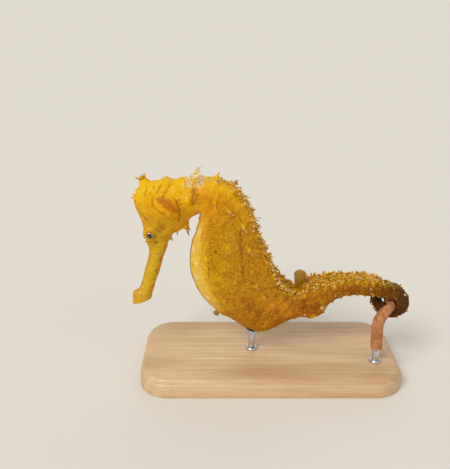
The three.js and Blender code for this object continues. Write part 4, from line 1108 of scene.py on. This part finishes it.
def ridge_threads(side, seed, start, end, count, angle, spread, lengths, bend, radius=(0.13, 0.24)):
    """Threads strewn along a ridge between two rings, shorter from the first length to the last."""
    threads = []
    for number in range(count):
        chance = [varied(seed + number + 0.1 * part) for part in range(6)]
        ring = start + (end - start) * (number + chance[0]) / count
        share = (ring - start) / (end - start)
        length = ranged(lengths, share) * (0.55 + 0.7 * chance[1])
        root, out, back = on_skin(ring, side * (angle + spread * (2 * chance[2] - 1)))
        out = out + np.array([0, 0.35 * side * (chance[3] - 0.3), 0])
        threads.append(dict(root=root, out=out, back=back, length=length, radius=ranged(radius, chance[4]),
                            bend=bend * (1.5 * chance[3] - 0.2), seed=seed + number,
                            pale=1.0 * (chance[5] > 0.85), beaded=0.8 * (chance[5] > 0.6)))
    return threads


def tufts(side, seed, start, end, count, angle, spread, length, dark=0.0):
    """Tufts strewn along a ridge: a few short fat threads that part from one root."""
    threads = []
    for number in range(count):
        ring = start + (end - start) * (number + varied(seed + number)) / count
        root, out, back = on_skin(ring, side * (angle + spread * (2 * varied(seed + number + 0.2) - 1)))
        aside = np.cross(out, back)
        for branch in range(TUFT_BRANCHES):
            chance = [varied(seed + number + 0.1 * branch + 0.3 * part) for part in range(4)]
            way = out + (1.6 * chance[0] - 0.8) * aside + (1.8 * chance[1] - 0.6) * back
            threads.append(dict(root=root, out=way, back=back, length=length * (0.5 + 0.8 * chance[2]),
                                radius=0.14 + 0.12 * chance[3], bend=1.4 * chance[1] - 0.2,
                                seed=seed + number + branch, pale=1.3 * (chance[3] > 0.92 + 0.06 * dark),
                                beaded=0.6 * (chance[0] > 0.5), thinning=0.35, dark=dark))
    return threads


# kind, seed, first and last ring, how many, angle, spread, length, then bend and radius or darkness
BACK_BEDS = [
    (ridge_threads, 0, 3.2, 7.2, 26, UPPER_RIDGE, 5, (2.2, 2.9), 1.9, (0.12, 0.22)),
    (ridge_threads, 50, 7.2, 11.6, 30, UPPER_RIDGE, 6, (2.0, 1.2), 1.5, (0.15, 0.28)),
    (tufts, 100, 2.6, 7.0, 16, UPPER_RIDGE, 4, 0.9),
    (tufts, 120, 6.8, 11.8, 34, UPPER_RIDGE - 2, 7, 1.2),
    (tufts, 160, 2.2, 11.4, 44, 13, 12, 0.65),
    (ridge_threads, 140, 4.5, 10.5, 12, SIDE_RIDGE, 4, (0.8, 0.6), 1.0, (0.08, 0.14)),
]
TAIL_BEDS = [
    (ridge_threads, 0, 12.4, 22.5, 34, TAIL_UPPER_RIDGE - 3, 8, (1.5, 0.9), 1.3),
    (tufts, 30, 12.2, 22.0, 34, TAIL_UPPER_RIDGE - 8, 10, 1.0),
    (tufts, 90, 11.4, 21.0, 22, 12, 12, 0.9),
    (tufts, 150, 21.5, 33.0, 30, 26, 30, 0.6, 0.6),
    (ridge_threads, 60, 12.8, 23.5, 40, 18, 18, (0.9, 0.6), 1.2, (0.09, 0.17)),
    (ridge_threads, 110, 13.5, 24.5, 18, TAIL_LOWER_RIDGE - 22, 20, (0.5, 0.4), 1.0, (0.08, 0.15)),
]
for name, beds, side, seed in (
        ("back_threads_left", BACK_BEDS, -1, 11), ("back_threads_right", BACK_BEDS, 1, 307),
        ("tail_threads_left", TAIL_BEDS, -1, 521), ("tail_threads_right", TAIL_BEDS, 1, 743)):
    thread_piece(name, [thread for kind, step, *bed in beds for thread in kind(side, seed + step, *bed)])

# The thorns are set on their feet in the skin: pink and pale at the tip, or dark under the throat.
thorn_threads = []
for number, (tip, direction, back, height, dark) in enumerate(thorns):
    thorn_threads.append(dict(root=tip, out=direction, back=back, length=0.5 * height + 0.2, bend=0.25,
                              radius=0.16 + 0.07 * height ** 1.6, seed=number, thinning=0.84, dark=dark,
                              sunk=0.5 * height, pale=2.0 if height > 2.4 else 1 - dark))
thread_piece("thorns", thorn_threads)

# The coronet's points stand round the rim of its stalk, with tendrils between them.
CORONET_POINTS, POINT_LENGTH, POINT_RADIUS, POINT_SPREAD, TENDRIL_LENGTH = 6, 1.5, 0.42, 0.75, 1.3
coronet_threads = []
for number in range(CORONET_POINTS):
    for tendril in (0, 1):
        turned = 2 * math.pi * (number + 0.5 * tendril + 0.2 * varied(number)) / CORONET_POINTS
        aside = coronet_fore * math.cos(turned) + np.array([0, 1, 0]) * math.sin(turned)
        root = coronet_top + aside * STALK_RADIUS * (0.75 - 0.25 * tendril) - 0.3 * coronet_out
        length = (TENDRIL_LENGTH if tendril else POINT_LENGTH) * (0.8 + 0.4 * varied(number + 0.4))
        coronet_threads.append(dict(
            root=root, out=coronet_out + POINT_SPREAD * (1 - 0.4 * tendril) * aside, back=aside,
            length=length, radius=0.13 if tendril else POINT_RADIUS, bend=0.8 if tendril else 0.15,
            seed=900 + number, thinning=0.3 if tendril else 0.8, beaded=0.8 * tendril, pale=0.35,
            dark=0.3 * tendril))
thread_piece("coronet_points", coronet_threads)

# A cushion of short pale fringe covers the nape, and pale whiskers meet in a fork under the throat.
FRINGE, PEAK_FRINGE = 170, 26
FRINGE_FORM = dict(bend=0.9, beaded=0.4, thinning=0.5)
WHISKER_ROOTS, WHISKER_FORK = [(-0.77, 127), (-0.47, 134)], (-24.9, 2.2, 50.3)
head_threads = []
for side in (-1, 1):
    for number in range(FRINGE):
        spread = varied(number + 0.57)
        ring, angle = 0.7 + 0.75 * varied(number + 0.13) - 0.2 * spread, 6 + 42 * spread
        root, out, back = on_skin(ring, side * angle)
        head_threads.append(dict(root=root, out=out, back=back, seed=1000 + number, **FRINGE_FORM,
                                 length=0.1 + 0.45 * varied(number + 0.31) ** 2,
                                 radius=0.1 + 0.13 * varied(number + 0.71),
                                 pale=2.0 if varied(number + 0.87) > 0.3 else 0.2))
    for number in range(PEAK_FRINGE):
        ring = 1 + 0.16 * (varied(number + 0.19) - 0.5)
        root, out, back = on_skin(ring, side * (UPPER_RIDGE + 9 * (varied(number + 0.63) - 0.5)))
        head_threads.append(dict(root=root, out=out, back=back, seed=1400 + number, **FRINGE_FORM,
                                 length=0.4 + 0.4 * varied(number + 0.37), radius=0.15, pale=2.0))
    fork = np.array(WHISKER_FORK) * np.array([1, side, 1])
    for number, (ring, angle) in enumerate(WHISKER_ROOTS):
        root, out, back = on_skin(ring, side * angle)
        head_threads.append(dict(root=root - 0.2 * out, out=fork - root, back=out, radius=0.12, bend=0.12,
                                 length=np.linalg.norm(fork - root), seed=number, pale=0.6, thinning=0.3))
thread_piece("head_threads", head_threads)

# ---------------------------------------------------------------- fins
# The fins are thin clear films stretched over fine rays: the tall narrow fin at the end of the back,
# a rounded fin behind each gill cover, and a very small one under the belly. Cast in clear resin,
# tinted, and let into slots in the skin.
FILM, RAY_THICKNESS, EDGE_SCALLOP = 0.07, 0.1, 0.05
FIN_STATIONS_PER_RAY, FIN_STEPS, RIPPLE = 8, 22, 0.16
fin_material, mix = finish_of(
    "fin_film", roughness=0.4, specular_ior_level=0.3, coat_weight=0.1, coat_roughness=0.2,
    subsurface_weight=0.3, subsurface_radius=(1.0, 0.6, 0.25), subsurface_scale=0.8 * MM)
fin_grain = mix.add("Group", {"Size mm": 0.4, "Unevenness": 0.5}, node_tree=grain).outputs
ray, reach_share = mix.value("ray"), mix.value("share")
film = mix.colour(mix.between(fin_grain["Mottle"], 0.4, 0.66), paint(172, 126, 8), paint(132, 92, 8))
rayed = mix.colour(mix.times(ray, 0.5), film, paint(150, 92, 6))
rayed = mix.colour(mix.between(mix.value("cover"), 0.86, 0.3), rayed, paint(232, 168, 20))
up_ray = mix.add("CombineXYZ", {"X": reach_share}).outputs[0]
joint_bars = mix.add("TexWave", {"Vector": up_ray, "Scale": 4.5, "Distortion": 0.4}).outputs["Fac"]
barred = mix.colour(mix.times(joint_bars, 0.2), rayed, paint(216, 170, 50))
mix.wear(base_color=barred)
mix.wear(normal=mix.bump(mix.plus(ray, mix.times(fin_grain["Height"], 0.2)), 0.05))
opaque = mix.plus(mix.value("cover"), mix.times(ray, 0.3))
mix.wear(alpha=mix.minus(opaque, mix.times(reach_share, 0.12)))


def fin(name, node, origin, foot_way, up_way, foot, reach, first_angle, last_angle, bow, rays, cover):
    """A fan of rays on a straight foot, its film thin between the rays and its edge scalloped.

    The first and last angles are the rays' at the two ends of the foot, and cover is how opaque it is.
    """
    origin, foot_way, up_way = np.array(origin, float), np.array(foot_way, float), np.array(up_way, float)
    through = np.cross(foot_way, up_way)
    stations = rays * FIN_STATIONS_PER_RAY + 1
    rows, ray_value, reach_value = [], [], []
    for station_number in range(stations):
        share = station_number / (stations - 1)
        phase = math.cos(2 * math.pi * share * rays)
        on_ray = (0.5 + 0.5 * phase) ** 3
        angle = math.radians(first_angle + (last_angle - first_angle) * share)
        length = reach * (1 - bow * (2 * share - 1) ** 2) * (1 - EDGE_SCALLOP * (0.5 - 0.5 * phase))
        outline = math.sqrt(max(1 - (2 * share - 1) ** 8, 0.0)) * 0.12 + 0.88
        loop, loop_share = [], []
        for step in range(2 * FIN_STEPS + 2):
            front = step <= FIN_STEPS
            rise = (step if front else 2 * FIN_STEPS + 1 - step) / FIN_STEPS
            run = length * outline * rise
            half = (FILM + RAY_THICKNESS * on_ray * (1 - 0.6 * rise)) * (1 - 0.7 * rise ** 4) * 0.5
            ripple = RIPPLE * math.sin(7 * share + 2 * rise) * rise
            footward, upward = foot * share + run * math.cos(angle), run * math.sin(angle)
            aside = ripple + (half if front else -half)
            loop.append(origin + foot_way * footward + up_way * upward + through * aside)
            loop_share.append(rise)
        rows.append(loop)
        ray_value.append([on_ray] * len(loop))
        reach_value.append(loop_share)
    rows = np.array(rows)
    piece = tube_piece(name, rows, fin_material)
    keep_values(piece, cover=np.full(rows.size // 3 + 2, cover), ray=np.append(np.ravel(ray_value), [1, 1]),
                share=np.append(np.ravel(reach_value), [0.5, 0.5]))
    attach(piece, "root")
    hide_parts(node)


DORSAL_FOOT, DORSAL_FOOT_HEIGHT, DORSAL_REACH = (7.7, 10.5), 26.8, 6.8
DORSAL_SPLAY, DORSAL_BOW, DORSAL_RAYS = (96, 85), 0.12, 14
fin("dorsal_film", "dorsal_fin", (DORSAL_FOOT[0], 0, DORSAL_FOOT_HEIGHT), (1, 0, 0), (0, 0, 1),
    DORSAL_FOOT[1] - DORSAL_FOOT[0], DORSAL_REACH, *DORSAL_SPLAY, DORSAL_BOW, DORSAL_RAYS, cover=0.86)
PECTORAL_RING, PECTORAL_ANGLE, PECTORAL_FOOT, PECTORAL_REACH, PECTORAL_LIFT = 0.62, 92, 1.9, 3.3, 33
for name, node, side in (("pectoral_film_left", "pectoral_fin_left", -1),
                         ("pectoral_film_right", "pectoral_fin_right", 1)):
    root, out, back = on_skin(PECTORAL_RING, side * PECTORAL_ANGLE)
    lift = math.radians(PECTORAL_LIFT)
    ray_way = unit(back * math.cos(lift) + out * math.sin(lift))
    upwards = on_skin(PECTORAL_RING, side * (PECTORAL_ANGLE - 8))[0] - root
    upwards = unit(upwards - ray_way * upwards.dot(ray_way))
    start = root - upwards * PECTORAL_FOOT / 2 - 0.12 * out
    fin(name, node, start, upwards, ray_way, PECTORAL_FOOT, PECTORAL_REACH,
        first_angle=118, last_angle=62, bow=0.1, rays=12, cover=0.25)
ANAL_RING, ANAL_FOOT, ANAL_REACH, ANAL_SET_IN = 9.9, 1.2, 1.6, 0.3
root, out, back = on_skin(ANAL_RING, 180)
fin("anal_film", "anal_fin", root - ANAL_SET_IN * out, back, out, ANAL_FOOT, ANAL_REACH + ANAL_SET_IN,
    first_angle=96, last_angle=60, bow=0.1, rays=5, cover=0.8)

# ---------------------------------------------------------------- coral perch
# The tail holds a finger of soft pink coral, cast from a real branch: rounded at its living end,
# pitted with polyps' cups all over, and sawn off flat where it stands on its rod.
CORAL_ROUTE = [(0, 8.4, 0), (0, 3, 0), (-0.2, -3.0, 0.2), (-2.4, -6.4, 0.6), (-4.7, -7.6, -2.2),
               (-4.9, -7.7, -11.5)]
CORAL_STEM, CORAL_SWELL = 1.85, (0.42, 0.62)
CORAL_ROWS, CORAL_SIDES, CORAL_CAP = 150, 72, 14
CORAL_CUPS, CUP_SIZE, CUP_DEPTH, CUP_RIM = 210, 0.34, 0.14, 0.07


def curve_through(points, count):
    """Evenly spaced points of a smooth curve through a few given ones."""
    points = np.array(points, float)
    points = np.vstack([2 * points[0] - points[1], points, 2 * points[-1] - points[-2]])
    steps = np.linalg.norm(np.diff(points, axis=0), axis=1) ** 0.5
    fine = []
    for number in range(1, len(points) - 2):
        before, span, after = steps[number - 1:number + 2]
        previous, start, end, following = points[number - 1:number + 3]
        leave = (start - previous) / before - (end - previous) / (before + span) + (end - start) / span
        arrive = (end - start) / span - (following - start) / (span + after) + (following - end) / after
        share = np.linspace(0, 1, 60, endpoint=False)[:, None]
        fine.append((2 * share ** 3 - 3 * share ** 2 + 1) * start
                    + (share ** 3 - 2 * share ** 2 + share) * leave * span
                    + (3 * share ** 2 - 2 * share ** 3) * end
                    + (share ** 3 - share ** 2) * arrive * span)
    fine = np.vstack(fine + [points[-2:-1]])
    travelled = np.concatenate([[0], np.cumsum(np.linalg.norm(np.diff(fine, axis=0), axis=1))])
    even = np.linspace(0, travelled[-1], count)
    return np.stack([np.interp(even, travelled, fine[:, axis]) for axis in range(3)], -1)


coral_line = curve_through(np.array(CORAL_ROUTE) + coil_eye, CORAL_ROWS)
line_way = [unit(way) for way in np.gradient(coral_line, axis=0)]
first_axis = np.array([1.0, 0, 0])
rows = []
for number, (centre, way) in enumerate(zip(coral_line, line_way)):
    share = number / (CORAL_ROWS - 1)
    first_axis = unit(first_axis - way * first_axis.dot(way))
    second_axis = np.cross(way, first_axis)
    thick = CORAL_GRIP + (CORAL_STEM - CORAL_GRIP) * float(smooth(share, *CORAL_SWELL))
    dome = math.sqrt(max(1 - (1 - min(number / CORAL_CAP, 1)) ** 2, 0.004))
    rows.append(hoop(centre, thick * dome, first_axis, second_axis, CORAL_SIDES))
coral = np.array(rows)
coral_out = -outward(coral)
coral_lumps = np.array([noise.noise(point) for point in (coral / 1.3).reshape(-1, 3).tolist()])
coral -= coral_out * (0.1 + 0.12 * np.abs(coral_lumps.reshape(coral.shape[:2])))[:, :, None]
cup_mask = np.zeros(coral.shape[:2])
for number in range(CORAL_CUPS):
    row = int(varied(number + 0.27) * (CORAL_ROWS - 8)) + 2
    column = int(varied(number + 0.59) * CORAL_SIDES)
    away = np.linalg.norm(coral - coral[row, column], axis=2)
    size = CUP_SIZE * (0.7 + 0.5 * varied(number + 0.91))
    cup = bell(away, 0.45 * size)
    rim = bell(away - 0.8 * size, 0.3 * size)
    coral += coral_out * (CUP_RIM * rim - CUP_DEPTH * cup)[:, :, None] * (cup_mask < 0.2)[:, :, None]
    cup_mask = np.maximum(cup_mask, cup)
material, mix = finish_of("coral_skin", specular_ior_level=0.25)
coral_grain = mix.add("Group", {"Size mm": 0.28, "Unevenness": 0.9}, node_tree=grain).outputs
dusty = mix.colour(mix.between(coral_grain["Mottle"], 0.36, 0.66), paint(204, 142, 88), paint(162, 104, 62))
cupped = mix.colour(mix.between(mix.value("cup"), 0.1, 0.8, 0.0, 0.75), dusty, paint(112, 58, 40))
chalky = mix.colour(mix.times(coral_grain["Joints"], 0.3), cupped, paint(216, 168, 122))
mix.wear(base_color=chalky)
mix.wear(normal=mix.bump(coral_grain["Height"], 0.07))
mix.wear(roughness=mix.between(coral_grain["Height"], 0.3, 1.0, 0.95, 0.75))
finger = tube_piece("coral_finger", coral, material, flipped=True)
keep_values(finger, cup=np.append(cup_mask.ravel(), [0, 0]))
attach(finger, "root")
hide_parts("perch_coral")

# ---------------------------------------------------------------- stand: rods
# Two short rods of brushed stainless steel, turned and let into the base through small collars. One
# holds the coral's sawn foot, and the other has a dished pad of black rubber under the pouch.
ROD_RADIUS, ROD_SOCKET, ROD_CHAMFER, POUCH_ROD_X = 1.1, 3.0, 0.18, -5.5
BASE_THICKNESS = 6.0
COLLAR_RADIUS, COLLAR_HEIGHT = 1.9, 0.7
PAD_RADIUS, PAD_THICKNESS = 1.9, 0.55
TURNED_SIDES = 72


def turned_piece(name, profile, x, y, material):
    """A solid of revolution about an upright axis, from (radius, height) pairs."""
    spin = np.linspace(0, 2 * math.pi, TURNED_SIDES, endpoint=False)
    rows = np.array([[(x + radius * math.cos(angle), y + radius * math.sin(angle), height)
                      for angle in spin] for radius, height in profile])
    return tube_piece(name, rows, material, flipped=True)


steel, mix = finish_of("brushed_steel", metallic=1.0)
where = mix.place()
lathe = mix.stretched(where, 30.0, 30.0, 5000.0)
brushed = mix.noise(lathe, 1.0, 4.0, 0.6)
worn = mix.noise(where, 420.0, 4.0, 0.6)
mix.wear(base_color=mix.colour(mix.between(brushed, 0.3, 0.7), (0.56, 0.565, 0.57), (0.7, 0.7, 0.695)))
lines, patches = mix.between(brushed, 0.3, 0.7, 0.2, 0.34), mix.between(worn, 0.5, 0.7, 0.0, 0.12)
mix.wear(roughness=mix.plus(lines, patches))
mix.wear(normal=mix.bump(brushed, 0.01))
rubber, mix = finish_of("black_rubber", roughness=0.7)
speck = mix.noise(mix.place(), 3500.0, 4.0, 0.7)
mix.wear(base_color=mix.colour(speck, (0.018, 0.018, 0.018), (0.05, 0.048, 0.045)))
mix.wear(normal=mix.bump(speck, 0.03))

under_body = skin.reshape(-1, 3)
under_body = under_body[under_body[:, 2] < 20]


def underside(x, y):
    """The height of the pouch's skin over a place on the base, from the nearest points of it."""
    away = np.hypot(under_body[:, 0] - x, under_body[:, 1] - y)
    close = np.argsort(away)[:6]
    return float(under_body[close, 2].mean())


pad_rows = []
spin = np.linspace(0, 2 * math.pi, TURNED_SIDES, endpoint=False)
PAD_PROFILE = [(0.5, -1), (0.85, -0.9), (1.0, -0.6), (1.0, -0.25), (0.9, 0.0), (0.7, 0.04), (0.4, 0.06)]
for share, level in PAD_PROFILE:
    loop = []
    for angle in spin:
        x, y = POUCH_ROD_X + share * PAD_RADIUS * math.cos(angle), share * PAD_RADIUS * math.sin(angle)
        loop.append((x, y, underside(x, y) + level * PAD_THICKNESS))
    pad_rows.append(loop)
pad = tube_piece("pouch_pad", np.array(pad_rows), rubber, flipped=True)
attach(pad, "root")

COLLAR_PROFILE = [(radius, BASE_THICKNESS + rise) for radius, rise in (
    (ROD_RADIUS, -0.1), (COLLAR_RADIUS, -0.1), (COLLAR_RADIUS, 0.35), (COLLAR_RADIUS - 0.3, COLLAR_HEIGHT),
    (ROD_RADIUS + 0.1, COLLAR_HEIGHT), (ROD_RADIUS, 0.55))]
coral_foot = coral_line[-1]
ROD_PLACES = [("rod_under_pouch", "stand_rod_pouch", POUCH_ROD_X, 0.0, underside(POUCH_ROD_X, 0) - 0.4),
              ("rod_under_coral", "stand_rod_coral", coral_foot[0], coral_foot[1], coral_foot[2] + 0.02)]
for name, node, x, y, top in ROD_PLACES:
    bottom, end_radius = BASE_THICKNESS - ROD_SOCKET, ROD_RADIUS - ROD_CHAMFER
    profile = [(end_radius, bottom), (ROD_RADIUS, bottom + ROD_CHAMFER), (ROD_RADIUS, top - ROD_CHAMFER),
               (end_radius, top)]
    rod = turned_piece(name, profile, x, y, steel)
    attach(rod, "root")
    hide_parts(node)
    collar = turned_piece("collar_" + name, COLLAR_PROFILE, x, y, steel)
    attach(collar, "root")

# ---------------------------------------------------------------- stand: base
# The base is one board of oiled beech, sawn with the grain along it. Its corners are rounded, its
# top edge is routed to a small step and a round, and its lower edge is eased.
BASE_LENGTH, BASE_WIDTH, BASE_CORNER = 80.0, 38.0, 9.0
EDGE_PROFILE = [(2.0, 0.0), (0.5, 0.0), (0.12, 0.12), (0.0, 0.45), (0.0, 3.9), (0.1, 4.15), (0.4, 4.3),
                (0.55, 4.45), (0.6, 4.7), (0.72, 5.1), (1.0, 5.5), (1.4, 5.8), (1.9, 5.95), (2.5, 6.0)]
CORNER_STEPS = 16


def base_outline(inset):
    """A rectangle with round corners, drawn in from the board's edge."""
    radius = BASE_CORNER - inset
    loop = []
    for quarter in range(4):
        right = 1 if quarter in (0, 3) else -1
        far = 1 if quarter in (0, 1) else -1
        centre = (right * (BASE_LENGTH / 2 - BASE_CORNER), far * (BASE_WIDTH / 2 - BASE_CORNER))
        for step in range(CORNER_STEPS + 1):
            angle = math.radians(90 * (quarter + step / CORNER_STEPS))
            loop.append((centre[0] + radius * math.cos(angle), centre[1] + radius * math.sin(angle)))
    return loop


wood, mix = finish_of("oiled_beech", coat_weight=0.25, coat_roughness=0.25)
where = mix.place()
stretched = mix.stretched(where, 9.0, 90.0, 90.0)
figure = mix.noise(stretched, 1.0, 3.0, 0.5, 1.2)
rings = mix.add("TexWave", {"Vector": stretched, "Scale": 1.5, "Distortion": 6.0, "Detail": 3.0,
                            "Detail Scale": 1.2}, wave_type="BANDS", bands_direction="Y").outputs["Fac"]
fibres = mix.noise(mix.stretched(where, 60.0, 2400.0, 2400.0), 1.0, 3.0, 0.6)
pores = mix.noise(mix.stretched(where, 260.0, 3600.0, 3600.0), 1.0, 2.0, 0.5)
board = mix.colour(mix.between(figure, 0.3, 0.7), paint(228, 196, 150), paint(206, 168, 118))
board = mix.colour(mix.times(rings, 0.22), board, paint(190, 148, 100))
board = mix.colour(mix.between(fibres, 0.35, 0.7, 0.0, 0.3), board, paint(170, 126, 80))
board = mix.colour(mix.between(pores, 0.66, 0.74, 0.0, 0.45), board, paint(120, 82, 48))
mix.wear(base_color=board)
mix.wear(roughness=mix.between(fibres, 0.3, 0.7, 0.36, 0.5))
mix.wear(normal=mix.bump(mix.minus(fibres, mix.between(pores, 0.66, 0.74)), 0.02))
rows = np.array([[(x, y, height) for x, y in base_outline(inset)] for inset, height in EDGE_PROFILE])
base = tube_piece("base_board", rows, wood, flipped=True)
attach(base, "root")
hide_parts("stand_base")

# ---------------------------------------------------------------- the studio
# A plain pale floor and three wide soft suns. They aren't part of the model.
floor_material, mix = finish_of("pale_floor", roughness=0.9)
shade = mix.noise(mix.place(), 9.0, 3.0)
mix.wear(base_color=mix.colour(mix.times(shade, 0.12), (0.80, 0.77, 0.71), (0.70, 0.66, 0.60)))
FLOOR_HALF = 60000
floor = solid_mesh("floor", [(-FLOOR_HALF, -FLOOR_HALF, 0), (FLOOR_HALF, -FLOOR_HALF, 0),
                             (FLOOR_HALF, FLOOR_HALF, 0), (-FLOOR_HALF, FLOOR_HALF, 0)],
                   [(0, 1, 2, 3)], floor_material)


def sun(name, place, angle, power, tint):
    """A sun in the direction of a place, whose shadows are softer the wider its angle is."""
    light = bpy.data.lights.new(name, "SUN")
    light.angle = math.radians(angle)
    light.energy = power
    light.color = tint
    holder = bpy.data.objects.new(name, light)
    holder.rotation_mode = "QUATERNION"
    holder.rotation_quaternion = Vector(place).to_track_quat("Z", "Y")
    bpy.context.scene.collection.objects.link(holder)


sun("key", (-260, -330, 420), 30, 1.75, (1.0, 0.975, 0.93))
sun("fill", (320, -260, 160), 60, 0.22, (0.95, 0.97, 1.0))
sun("rim", (60, 320, 300), 50, 0.4, (1.0, 0.98, 0.95))
SOFT_LIGHT = 0.45
world = bpy.data.worlds.new("studio")
world.use_nodes = True
backdrop = world.node_tree.nodes["Background"]
backdrop.inputs["Strength"].default_value = SOFT_LIGHT
# The camera sees a warm backdrop, and the light that comes from it is nearly white.
mix = Mix(world.node_tree)
seen = mix.add("LightPath").outputs["Is Camera Ray"]
mix.give(mix.colour(seen, (1.0, 0.98, 0.95), (1.68, 1.58, 1.42)), backdrop.inputs["Color"])
bpy.context.scene.world = world
bpy.context.scene.view_settings.view_transform = "Standard"

# The camera looks at the animal's left side from a little above it.
LOOK_AT, DISTANCE, LOOK_DOWN = (-14, 0, 45), 195, 21
FOCAL_PIXELS, FRAME_LONG_SIDE, SENSOR = 650, 469, 36
camera = bpy.data.cameras.new("camera")
camera.sensor_width = SENSOR
camera.lens = FOCAL_PIXELS * SENSOR / FRAME_LONG_SIDE
camera.clip_start, camera.clip_end = 0.01, 100
viewer = bpy.data.objects.new("camera", camera)
down = math.radians(LOOK_DOWN)
away = Vector((0, -math.cos(down), math.sin(down)))
viewer.location = (Vector(LOOK_AT) + away * DISTANCE) * MM
viewer.rotation_mode = "QUATERNION"
viewer.rotation_quaternion = away.to_track_quat("Z", "Y")
bpy.context.scene.collection.objects.link(viewer)
bpy.context.scene.camera = viewer
